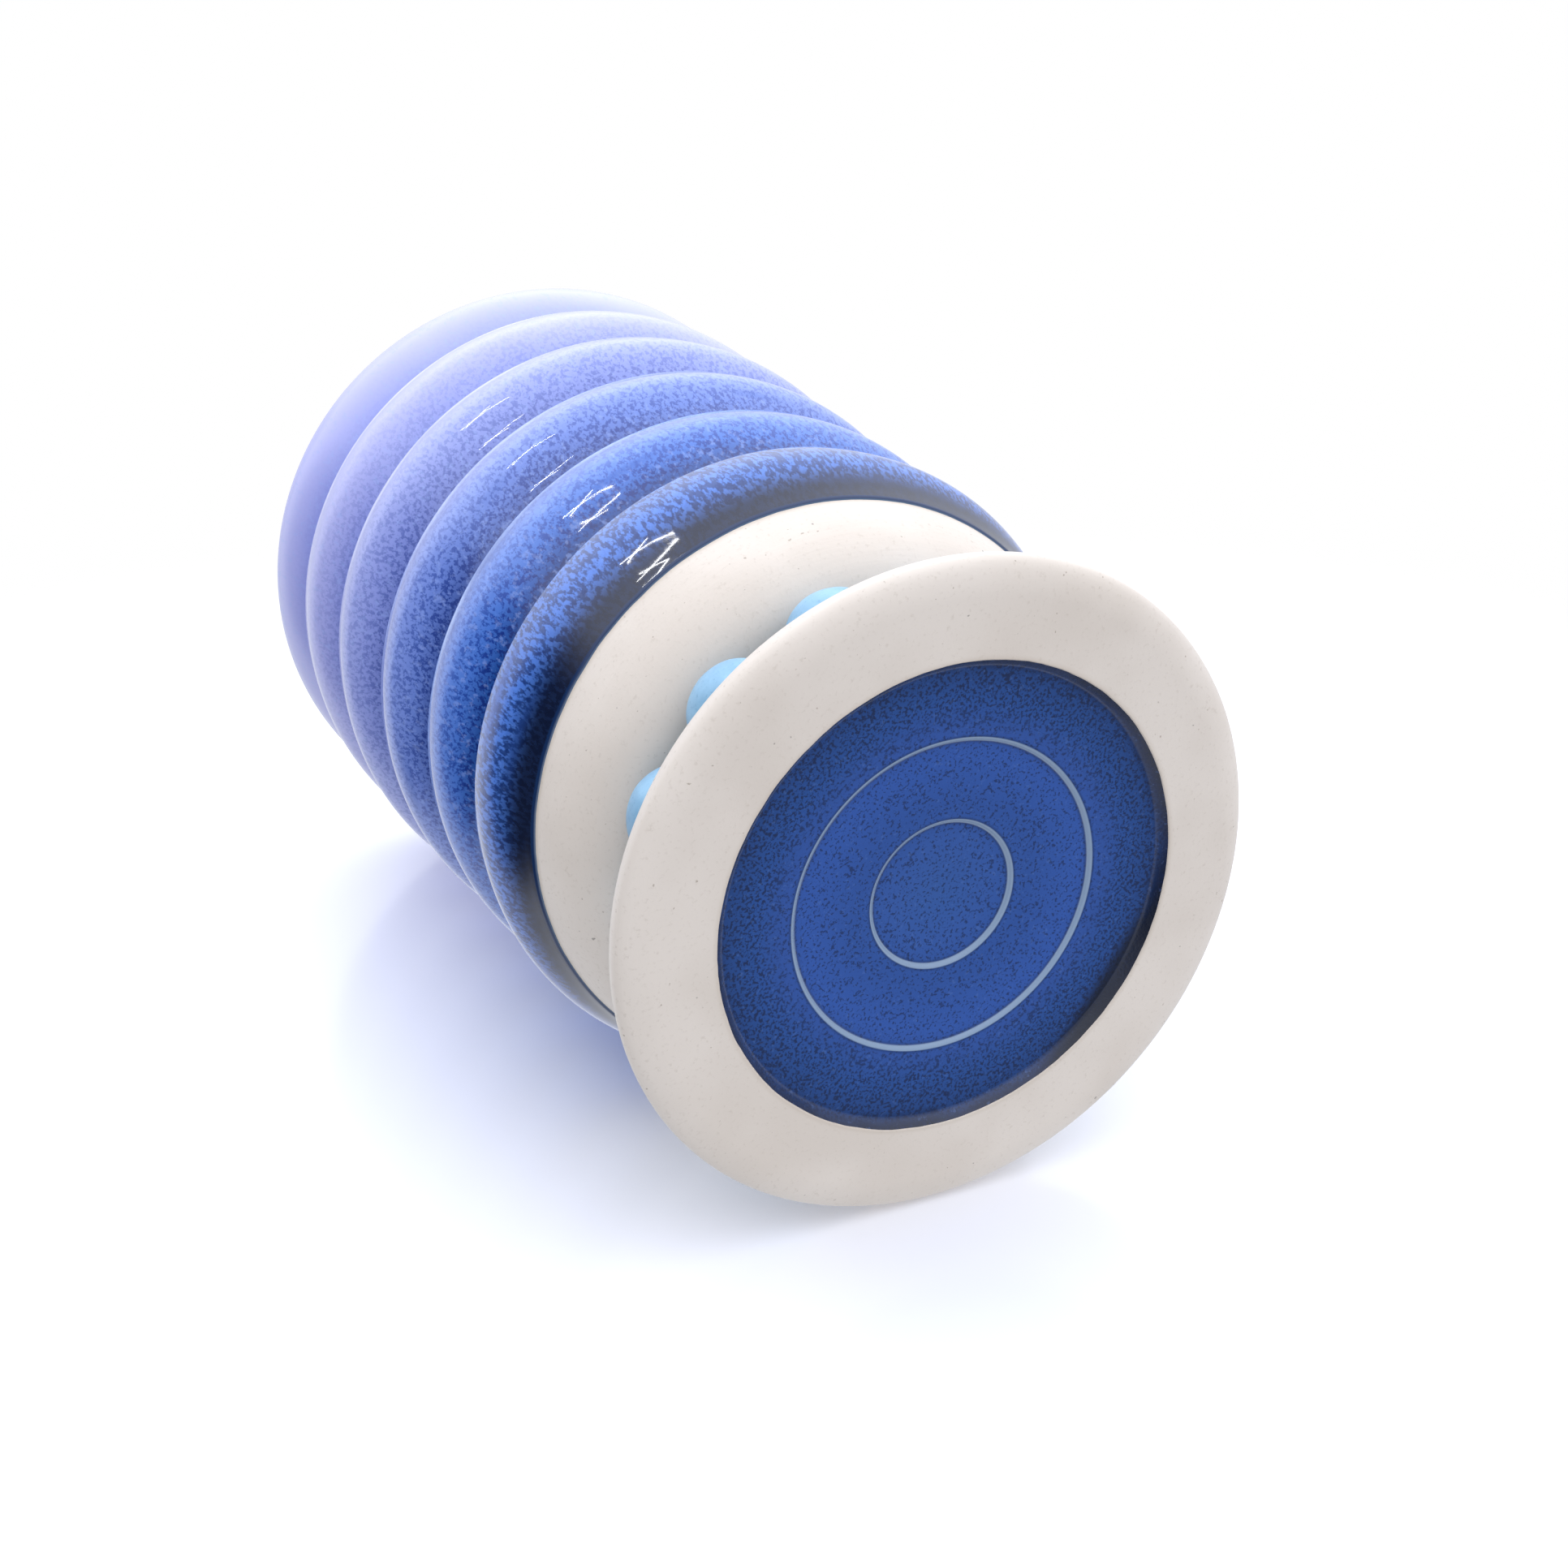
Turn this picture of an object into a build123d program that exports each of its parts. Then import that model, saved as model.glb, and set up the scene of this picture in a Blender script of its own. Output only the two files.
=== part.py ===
from build123d import *

import math
import os

# Butter crock: a ridged stoneware pot on a disc foot, with a ball track round
# its neck, a string of clay beads in the track, and a drop-in lid whose bell
# holds the butter upside down over the water in the pot.
#
# Millimetres. The origin is the centre of the foot's rest ring, +Z points up
# the wheel axis, and the shelf that the crock stands on is the plane z = 0.

# ---- Foot -------------------------------------------------------------------
FOOT_RADIUS = 42.9          # widest circle of the foot disc
FOOT_THICKNESS = 8.1        # rest ring to the top of the disc
FOOT_WIDEST_Z = 2.2         # height of the widest circle
FOOT_ROUND_WIDTH = 4.4      # how far the rounded rim reaches in below the widest circle
FOOT_TOP_ROUND_WIDTH = 6.5  # and above it
RECESS_RADIUS = 31.0        # glazed recess inside the bare rest ring
RECESS_EDGE_DEPTH = 1.4     # drop just inside the rest ring
RECESS_EDGE_WIDTH = 1.1
RING_RADII = (20.2, 9.4)    # two turned steps in the recess
RING_STEP = 0.5             # depth of each step
RING_STEP_WIDTH = 0.45
RECESS_FALL = 0.45          # how much the recess deepens between one step and the next
FLOOR_THICKNESS = 6.4       # clay between the recess and the inside of the pot

# ---- Ball track and beads -----------------------------------------------------
BEAD_RADIUS = 6.5
BEAD_COUNT = 13
BEAD_RING_RADIUS = 30.7     # axis of the crock to the middle of a bead
BEAD_PITCH_DEG = 27.2       # from bead to bead; what is left over is the knot's gap
KNOT_ANGLE_DEG = 272.0      # where the cord is tied
TRACK_CLEARANCE = 0.9       # bead to the hollow of the track
BEAD_BORE_RADIUS = 1.8
CORD_RADIUS = 0.8
KNOT_RADIUS = 1.5
KNOT_TAIL = 1.7             # each cut end, from the middle of the knot
KNOT_TAIL_LEAN_DEG = 35.0   # each cut end, away from the level

# ---- Pot ----------------------------------------------------------------------
HEIGHT = 149.0              # shelf to the top of the rim
GLAZE_LINE_Z = 35.2         # where the glaze stops on the shoulder
GLAZE_LINE_RADIUS = 40.4
GLAZE_ROLL = 0.5            # how far the end of the glaze stands out from the clay
SHOULDER_REACH = 0.66       # share of the shoulder's width where it is part way up
SHOULDER_CLIMB = 0.32       # share of the shoulder's height at that place
RIDGE_COUNT = 6             # turned ridges, the last one carries the rim
FIRST_LIP_Z = 50.2          # sharp upper lip of the lowest ridge
RIDGE_PITCH = 19.55
LOW_LIP_RADIUS = 43.8       # lip of the lowest ridge
TOP_LIP_RADIUS = 47.8       # lip of the highest full ridge
RIDGE_CROWN = 0.3           # how far a ridge's belly stands out past its lip
BELLY_DROP = 5.6            # lip down to the widest part of the belly
GROOVE_DEPTH = 3.1          # lip to the bottom of the groove above it
LEDGE_RISE = 1.7            # lip to the bottom of the groove, along the axis
COVE_RISE = 6.2             # lip to where the groove turns out into the next belly
COVE_DEPTH = 2.1            # how deep the groove still is there
LIP_ROUND = 0.7
WALL = 5.2                  # clay behind the bottom of a groove
NECK_WALL = 5.5             # clay round the well inside the neck

# ---- Rim and gallery ------------------------------------------------------------
RIM_CROWN = 0.7             # how far the rim's belly stands out past the highest lip
RIM_WIDTH = 5.0             # outside of the rim to the wall of the gallery
RIM_ROUND_HEIGHT = 4.5
GALLERY_DEPTH = 7.8         # top of the rim to the ledge that the lid sits on
GALLERY_LEDGE = 3.0
RIM_INNER_ROUND = 2.0

# ---- Lid, knob and bell -----------------------------------------------------------
LID_SIDE_CLEARANCE = 0.4    # lid to the wall of the gallery
LID_SEAT_GAP = 0.3          # lid to the ledge
LID_THICKNESS = 5.2
LID_EDGE_ROUND = 1.2        # rounded upper edge of the lid
LID_FLAT_WIDTH = 4.0        # flat border of the lid's top, in from its edge
LID_DISH = 1.2              # how far the lid's top sinks between its edge and the knob
KNOB_RADIUS = 13.5
KNOB_HEIGHT = 15.0          # top of the lid's edge to the top of the knob
KNOB_DISC = 5.0
KNOB_NECK_RADIUS = 7.0
KNOB_FLARE_RADIUS = 16.8    # where the knob's neck runs out into the lid
BELL_RADIUS = 32.6
BELL_WALL = 4.4
BELL_DEPTH = 68.0           # underside of the lid to the mouth of the bell
BELL_ROOF_ROUND = 7.0
BELL_ROOF_SINK = 0.5        # roof of the bell below the underside of the lid
BELL_FILLET = 2.5           # bell to the underside of the lid, outside

# ---- What follows from them ---------------------------------------------------------
TRACK_RADIUS = BEAD_RADIUS + TRACK_CLEARANCE
BEAD_Z = FOOT_THICKNESS + TRACK_RADIUS
SHOULDER_Z = BEAD_Z + TRACK_RADIUS
LIP_ZS = [FIRST_LIP_Z + RIDGE_PITCH * i for i in range(RIDGE_COUNT - 1)]
WIDEST_RADIUS = TOP_LIP_RADIUS + RIM_CROWN
GALLERY_RADIUS = WIDEST_RADIUS - RIM_WIDTH
LEDGE_RADIUS = GALLERY_RADIUS - GALLERY_LEDGE
LEDGE_Z = HEIGHT - GALLERY_DEPTH
LOW_INNER_RADIUS = LOW_LIP_RADIUS - GROOVE_DEPTH - WALL
LID_RADIUS = GALLERY_RADIUS - LID_SIDE_CLEARANCE
LID_BOTTOM_Z = LEDGE_Z + LID_SEAT_GAP
LID_TOP_Z = LID_BOTTOM_Z + LID_THICKNESS
BELL_MOUTH_Z = LID_BOTTOM_Z - BELL_DEPTH


def lip_radius(z):
    """The pot opens out softly: upright at the lowest lip and again at the highest."""
    share = (z - LIP_ZS[0]) / (LIP_ZS[-1] - LIP_ZS[0])
    return LOW_LIP_RADIUS + (TOP_LIP_RADIUS - LOW_LIP_RADIUS) * share**2 * (3 - 2 * share)


def lathe(edges):
    """A closed outline in the X-Z plane, turned once round the axis."""
    return revolve(make_face(Wire(edges)), Axis.Z)


def at(r, z):
    return Vector(r, 0, z)


def curve(points, start, end):
    """A smooth curve through the points, with its direction set at both ends."""
    places = [at(*p) for p in points]
    return Spline(*places, tangents=[at(*start), at(*end)])


def recess_edges():
    """The underside: stepped recess from the centre out to the rest ring."""
    z = RECESS_EDGE_DEPTH
    outline = [(RECESS_RADIUS, 0.0), (RECESS_RADIUS - RECESS_EDGE_WIDTH, z)]
    for radius in RING_RADII:
        z += RECESS_FALL
        outline.append((radius + RING_STEP_WIDTH, z))
        z += RING_STEP
        outline.append((radius, z))
    outline.append((0.0, z + RECESS_FALL))
    corners = [at(*p) for p in reversed(outline)]
    return [Line(a, b) for a, b in zip(corners, corners[1:])], z + RECESS_FALL


def foot_edges():
    """Rest ring, rounded rim and the top of the disc as far as the track."""
    ring_end = (FOOT_RADIUS - FOOT_ROUND_WIDTH, 0)
    widest = (FOOT_RADIUS, FOOT_WIDEST_Z)
    top_start = (FOOT_RADIUS - FOOT_TOP_ROUND_WIDTH, FOOT_THICKNESS)
    return [
        Line(at(RECESS_RADIUS, 0), at(*ring_end)),
        curve([ring_end, widest], (1, 0), (0, 1)),
        curve([widest, top_start], (0, 1), (-1, 0)),
        Line(at(*top_start), at(BEAD_RING_RADIUS, FOOT_THICKNESS)),
    ]


def track_edges():
    """The half-round hollow that the beads run in, and the bare shoulder above it."""
    shoulder_mid = (
        BEAD_RING_RADIUS + SHOULDER_REACH * (GLAZE_LINE_RADIUS - BEAD_RING_RADIUS),
        SHOULDER_Z + SHOULDER_CLIMB * (GLAZE_LINE_Z - SHOULDER_Z),
    )
    return [
        ThreePointArc(
            at(BEAD_RING_RADIUS, FOOT_THICKNESS),
            at(BEAD_RING_RADIUS - TRACK_RADIUS, BEAD_Z),
            at(BEAD_RING_RADIUS, SHOULDER_Z),
        ),
        curve(
            [(BEAD_RING_RADIUS, SHOULDER_Z), shoulder_mid, (GLAZE_LINE_RADIUS, GLAZE_LINE_Z)],
            (1, 0),
            (0.25, 1),
        ),
    ]


def lip_edges(r, z):
    """The sharp lip of one ridge, and its ledge in to the groove above."""
    return [
        ThreePointArc(
            at(r, z - LIP_ROUND),
            at(r - LIP_ROUND * (1 - math.sqrt(0.5)), z - LIP_ROUND * (1 - math.sqrt(0.5))),
            at(r - LIP_ROUND, z),
        ),
        curve([(r - LIP_ROUND, z), (r - GROOVE_DEPTH, z + LEDGE_RISE)], (-1, 0.1), (0.02, 1)),
    ]


def ridge_edges():
    """Every ridge from the glaze line to the last groove below the rim."""
    roll = (GLAZE_LINE_RADIUS + GLAZE_ROLL, GLAZE_LINE_Z + GLAZE_ROLL)
    edges = [Line(at(GLAZE_LINE_RADIUS, GLAZE_LINE_Z), at(*roll))]
    below = [roll]
    leave = (0.35, 1)
    for z in LIP_ZS:
        r = lip_radius(z)
        belly = (r + RIDGE_CROWN, z - BELLY_DROP)
        edges.append(curve(below + [belly, (r, z - LIP_ROUND)], leave, (-0.12, 1)))
        edges += lip_edges(r, z)
        below = [(r - GROOVE_DEPTH, z + LEDGE_RISE), (r - COVE_DEPTH, z + COVE_RISE)]
        leave = (0.02, 1)
    return edges, below


def rim_edges(groove):
    """The top ridge, the rounded rim and the gallery for the lid."""
    round_z = HEIGHT - RIM_ROUND_HEIGHT
    top_radius = GALLERY_RADIUS + RIM_INNER_ROUND
    return [
        curve(groove + [(WIDEST_RADIUS, round_z)], (0.02, 1), (0, 1)),
        curve([(WIDEST_RADIUS, round_z), (top_radius, HEIGHT)], (0, 1), (-1, 0)),
        curve([(top_radius, HEIGHT), (GALLERY_RADIUS, HEIGHT - RIM_INNER_ROUND)], (-1, 0), (0, -1)),
        Line(at(GALLERY_RADIUS, HEIGHT - RIM_INNER_ROUND), at(GALLERY_RADIUS, LEDGE_Z)),
        Line(at(GALLERY_RADIUS, LEDGE_Z), at(LEDGE_RADIUS, LEDGE_Z)),
    ]


def inside_edges(floor_z):
    """The inside, from the ledge down the wall to the well in the neck."""
    well_radius = BEAD_RING_RADIUS - TRACK_RADIUS - NECK_WALL
    bend_top = (BEAD_RING_RADIUS, BEAD_Z + TRACK_RADIUS + NECK_WALL)
    bend_mid = (
        BEAD_RING_RADIUS - (TRACK_RADIUS + NECK_WALL) * math.sqrt(0.5),
        BEAD_Z + (TRACK_RADIUS + NECK_WALL) * math.sqrt(0.5),
    )
    wall_low = (LOW_INNER_RADIUS, FIRST_LIP_Z)
    well_round = BEAD_Z - floor_z
    return [
        Line(at(LEDGE_RADIUS, LEDGE_Z), at(*wall_low)),
        curve([wall_low, bend_top], (-0.03, -1), (-1, -0.05)),
        ThreePointArc(at(*bend_top), at(*bend_mid), at(well_radius, BEAD_Z)),
        curve([(well_radius, BEAD_Z), (well_radius - well_round, floor_z)], (0, -1), (-1, 0)),
        Line(at(well_radius - well_round, floor_z), at(0, floor_z)),
    ]


def crock():
    """Foot, neck, shoulder, ridged wall and rim: thrown and fired as one piece."""
    recess, deepest = recess_edges()
    ridges, groove = ridge_edges()
    floor_z = deepest + FLOOR_THICKNESS
    edges = recess + foot_edges() + track_edges() + ridges + rim_edges(groove)
    edges += inside_edges(floor_z)
    edges.append(Line(at(0, floor_z), at(0, deepest)))
    return lathe(edges)


def knob_edges(dish_z):
    """The knob, from the middle of its top round its disc and down its neck to the lid."""
    top = LID_TOP_Z + KNOB_HEIGHT
    half_disc = KNOB_DISC / 2
    disc_radius = KNOB_RADIUS - half_disc
    under = top - KNOB_DISC
    neck = (KNOB_NECK_RADIUS, (under + dish_z) / 2)
    return [
        curve([(0, top - LID_DISH), (disc_radius, top)], (1, 0), (1, 0.1)),
        ThreePointArc(at(disc_radius, top), at(KNOB_RADIUS, top - half_disc), at(disc_radius, under)),
        curve([(disc_radius, under), neck, (KNOB_FLARE_RADIUS, dish_z)], (-1, -0.1), (1, -0.05)),
    ]


def plate_edges(dish_z):
    """The lid's top, its edge and its underside as far as the bell."""
    flat = (LID_RADIUS - LID_FLAT_WIDTH, LID_TOP_Z)
    shoulder = (LID_RADIUS - LID_EDGE_ROUND, LID_TOP_Z)
    side = (LID_RADIUS, LID_TOP_Z - LID_EDGE_ROUND)
    corner = (LID_RADIUS, LID_BOTTOM_Z)
    return [
        curve([(KNOB_FLARE_RADIUS, dish_z), flat], (1, -0.05), (1, 0)),
        Line(at(*flat), at(*shoulder)),
        curve([shoulder, side], (1, 0), (0, -1)),
        Line(at(*side), at(*corner)),
        Line(at(*corner), at(BELL_RADIUS + BELL_FILLET, LID_BOTTOM_Z)),
    ]


def bell_edges(roof_z):
    """The butter bell: down its outside, round its mouth and up to the middle of its roof."""
    inner = BELL_RADIUS - BELL_WALL
    mouth_z = BELL_MOUTH_Z + BELL_WALL / 2
    root_z = LID_BOTTOM_Z - BELL_FILLET
    round_z = roof_z - BELL_ROOF_ROUND
    roof_radius = inner - BELL_ROOF_ROUND
    return [
        curve([(BELL_RADIUS + BELL_FILLET, LID_BOTTOM_Z), (BELL_RADIUS, root_z)], (-1, 0), (0, -1)),
        Line(at(BELL_RADIUS, root_z), at(BELL_RADIUS, mouth_z)),
        ThreePointArc(
            at(BELL_RADIUS, mouth_z),
            at(BELL_RADIUS - BELL_WALL / 2, BELL_MOUTH_Z),
            at(inner, mouth_z),
        ),
        Line(at(inner, mouth_z), at(inner, round_z)),
        curve([(inner, round_z), (roof_radius, roof_z)], (0, 1), (-1, 0)),
        Line(at(roof_radius, roof_z), at(0, roof_z)),
    ]


def lid():
    """Drop-in lid with its knob above and the butter bell below, fired as one piece."""
    dish_z = LID_TOP_Z - LID_DISH
    roof_z = LID_BOTTOM_Z - BELL_ROOF_SINK
    axis = Line(at(0, roof_z), at(0, LID_TOP_Z + KNOB_HEIGHT - LID_DISH))
    return lathe([axis] + knob_edges(dish_z) + plate_edges(dish_z) + bell_edges(roof_z))


def bead_angle(index):
    """Beads follow one another from the knot; the gap at the knot takes what is left."""
    knot_gap = 360 - BEAD_PITCH_DEG * (BEAD_COUNT - 1)
    return KNOT_ANGLE_DEG + knot_gap / 2 + BEAD_PITCH_DEG * index


def bead(index):
    """One ball of clay with a straight hole along the cord."""
    drill = Cylinder(BEAD_BORE_RADIUS, 3 * BEAD_RADIUS, rotation=(90, 0, 0))
    ball = Sphere(BEAD_RADIUS) - drill
    return Rot(0, 0, bead_angle(index)) * Pos(BEAD_RING_RADIUS, 0, BEAD_Z) * ball


def bead_cord():
    """The cord through every bead, knotted once, with two short cut ends."""
    half_bore = math.sqrt(BEAD_RADIUS**2 - BEAD_BORE_RADIUS**2)
    bow = half_bore**2 / (2 * BEAD_RING_RADIUS)
    cord_ring_radius = BEAD_RING_RADIUS + bow / 2
    loop = Pos(0, 0, BEAD_Z) * Torus(cord_ring_radius, CORD_RADIUS)
    turn = Rot(0, 0, KNOT_ANGLE_DEG)
    knot = turn * Pos(cord_ring_radius, 0, BEAD_Z) * Sphere(KNOT_RADIUS)
    tied = loop + knot
    for lean in (-KNOT_TAIL_LEAN_DEG, KNOT_TAIL_LEAN_DEG):
        tail = Pos(0, 0, KNOT_TAIL) * Cylinder(CORD_RADIUS, 2 * KNOT_TAIL)
        tied += turn * Pos(cord_ring_radius, 0, BEAD_Z) * Rot(lean, 90, 0) * tail
    return tied


def main():
    os.makedirs("parts", exist_ok=True)
    pieces = {"crock": crock(), "lid": lid(), "bead_cord": bead_cord()}
    for index in range(BEAD_COUNT):
        pieces[f"bead_{index + 1:02d}"] = bead(index)
    for name, shape in pieces.items():
        export_step(shape, f"parts/{name}.step")
        print(name, round(shape.volume / 1000, 2), "cm3")


main()
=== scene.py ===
"""A ridged stoneware butter crock on a bare disc foot, with a drop-in lid and bell and a string of beads."""
import logging
import math
from dataclasses import dataclass, field
from enum import Enum
from typing import Any

import bpy
import numpy as np
from mathutils import Matrix, Vector


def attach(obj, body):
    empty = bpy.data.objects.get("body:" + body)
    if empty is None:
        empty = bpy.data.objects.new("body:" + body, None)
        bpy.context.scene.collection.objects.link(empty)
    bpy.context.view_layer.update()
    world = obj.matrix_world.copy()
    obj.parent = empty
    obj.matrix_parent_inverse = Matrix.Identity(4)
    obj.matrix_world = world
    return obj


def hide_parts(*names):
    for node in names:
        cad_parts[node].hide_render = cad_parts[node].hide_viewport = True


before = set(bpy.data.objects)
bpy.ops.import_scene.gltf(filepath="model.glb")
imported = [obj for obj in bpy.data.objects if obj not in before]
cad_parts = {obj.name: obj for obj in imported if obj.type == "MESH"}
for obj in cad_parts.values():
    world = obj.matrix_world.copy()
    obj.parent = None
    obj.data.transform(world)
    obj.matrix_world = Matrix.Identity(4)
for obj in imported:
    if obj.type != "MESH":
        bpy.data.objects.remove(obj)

LOG = logging.getLogger("butter_crock")
MM = 0.001
Point = tuple[float, float]
Point3 = tuple[float, float, float]
Feed = bpy.types.Node | bpy.types.NodeSocket
SMALLEST_CORNER = math.radians(18)
LONGEST_CUT = 0.42
BEND_STEPS = (0, 0.25, 0.5, 0.75, 1)
GUARD_REACH = 1.8
GUARD_ROOM = 4


# ---- Small helpers ----------------------------------------------------------------


def linear(colour: str, alpha: float = 1.0) -> tuple[float, float, float, float]:
    """Turns an sRGB hex colour into linear values.

    Args:
        colour: six hex digits.
        alpha: fourth value of the result.

    Returns:
        Red, green, blue and alpha.
    """
    shades = [int(colour[i : i + 2], 16) / 255 for i in (0, 2, 4)]
    red, green, blue = [s / 12.92 if s <= 0.04045 else ((s + 0.055) / 1.055) ** 2.4 for s in shades]
    return red, green, blue, alpha


def feed(tree: bpy.types.NodeTree, node: bpy.types.Node, inputs: dict) -> None:
    """Sets a node's inputs.

    Args:
        tree: node tree that holds the node.
        node: the node.
        inputs: socket name or number to a value, or to the socket that feeds it, or to a node whose first
            output feeds it.
    """
    for key, value in inputs.items():
        if isinstance(value, bpy.types.Node):
            value = value.outputs[0]
        if isinstance(value, bpy.types.NodeSocket):
            tree.links.new(value, node.inputs[key])
        else:
            node.inputs[key].default_value = value


def add(tree: bpy.types.NodeTree, kind: str, inputs: dict | None = None, **settings: Any) -> bpy.types.Node:
    """Adds a node with its settings, its values and its links.

    Args:
        tree: node tree that gets the node.
        kind: Blender's name for the node.
        inputs: what its inputs are set to, as feed takes them.
        settings: the node's own properties.

    Returns:
        The new node.
    """
    node = tree.nodes.new(kind)
    for name, value in settings.items():
        setattr(node, name, value)
    feed(tree, node, inputs or {})
    return node


def paint_ramp(node: bpy.types.Node, stops: list[tuple[float, str]]) -> Feed:
    """Sets the stops of a colour ramp.

    Args:
        node: the Color Ramp node.
        stops: place from 0 to 1 and sRGB hex colour, in order.

    Returns:
        The ramp's colour socket.
    """
    elements = node.color_ramp.elements
    while len(elements) < len(stops):
        elements.new(1.0)
    for element, (place, colour) in zip(elements, stops):
        element.position = place
        element.color = linear(colour)
    return node.outputs["Color"]


def clamped_spline(points: list[Point], start: Point, end: Point, rows: int) -> list[Point]:
    """Samples a smooth curve through the points, with its direction set at both ends.

    Args:
        points: radius and height of each point it passes.
        start: direction at the first point.
        end: direction at the last point.
        rows: number of samples after the first point.

    Returns:
        The samples, without the first point.
    """
    knots = np.array(points, float)
    spans = np.linalg.norm(np.diff(knots, axis=0), axis=1)
    count = len(knots)
    system = np.eye(count)
    slopes = np.zeros((count, 2))
    slopes[0] = np.array(start) / np.linalg.norm(start)
    slopes[-1] = np.array(end) / np.linalg.norm(end)
    for i in range(1, count - 1):
        before, after = spans[i - 1], spans[i]
        system[i, i - 1 : i + 2] = after, 2 * (before + after), before
        rise_in = after * (knots[i] - knots[i - 1]) / before
        rise_out = before * (knots[i + 1] - knots[i]) / after
        slopes[i] = 3 * (rise_in + rise_out)
    slopes = np.linalg.solve(system, slopes)
    reach = np.concatenate([[0], np.cumsum(spans)])
    samples = []
    for place in np.linspace(0, reach[-1], rows + 1)[1:]:
        i = min(int(np.searchsorted(reach, place, side="right")) - 1, count - 2)
        h = spans[i]
        s = (place - reach[i]) / h
        blend = (2 * s**3 - 3 * s**2 + 1, s**3 - 2 * s**2 + s, 3 * s**2 - 2 * s**3, s**3 - s**2)
        near = blend[0] * knots[i] + blend[1] * h * slopes[i]
        spot = near + blend[2] * knots[i + 1] + blend[3] * h * slopes[i + 1]
        samples.append((float(spot[0]), float(spot[1])))
    return samples


# ---- Outlines and the wheel -----------------------------------------------------------


class Zone(Enum):
    """What covers a stretch of a turned outline."""

    CLAY = 0
    RIDGES = 1
    RECESS = 2
    LINER = 3


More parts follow.
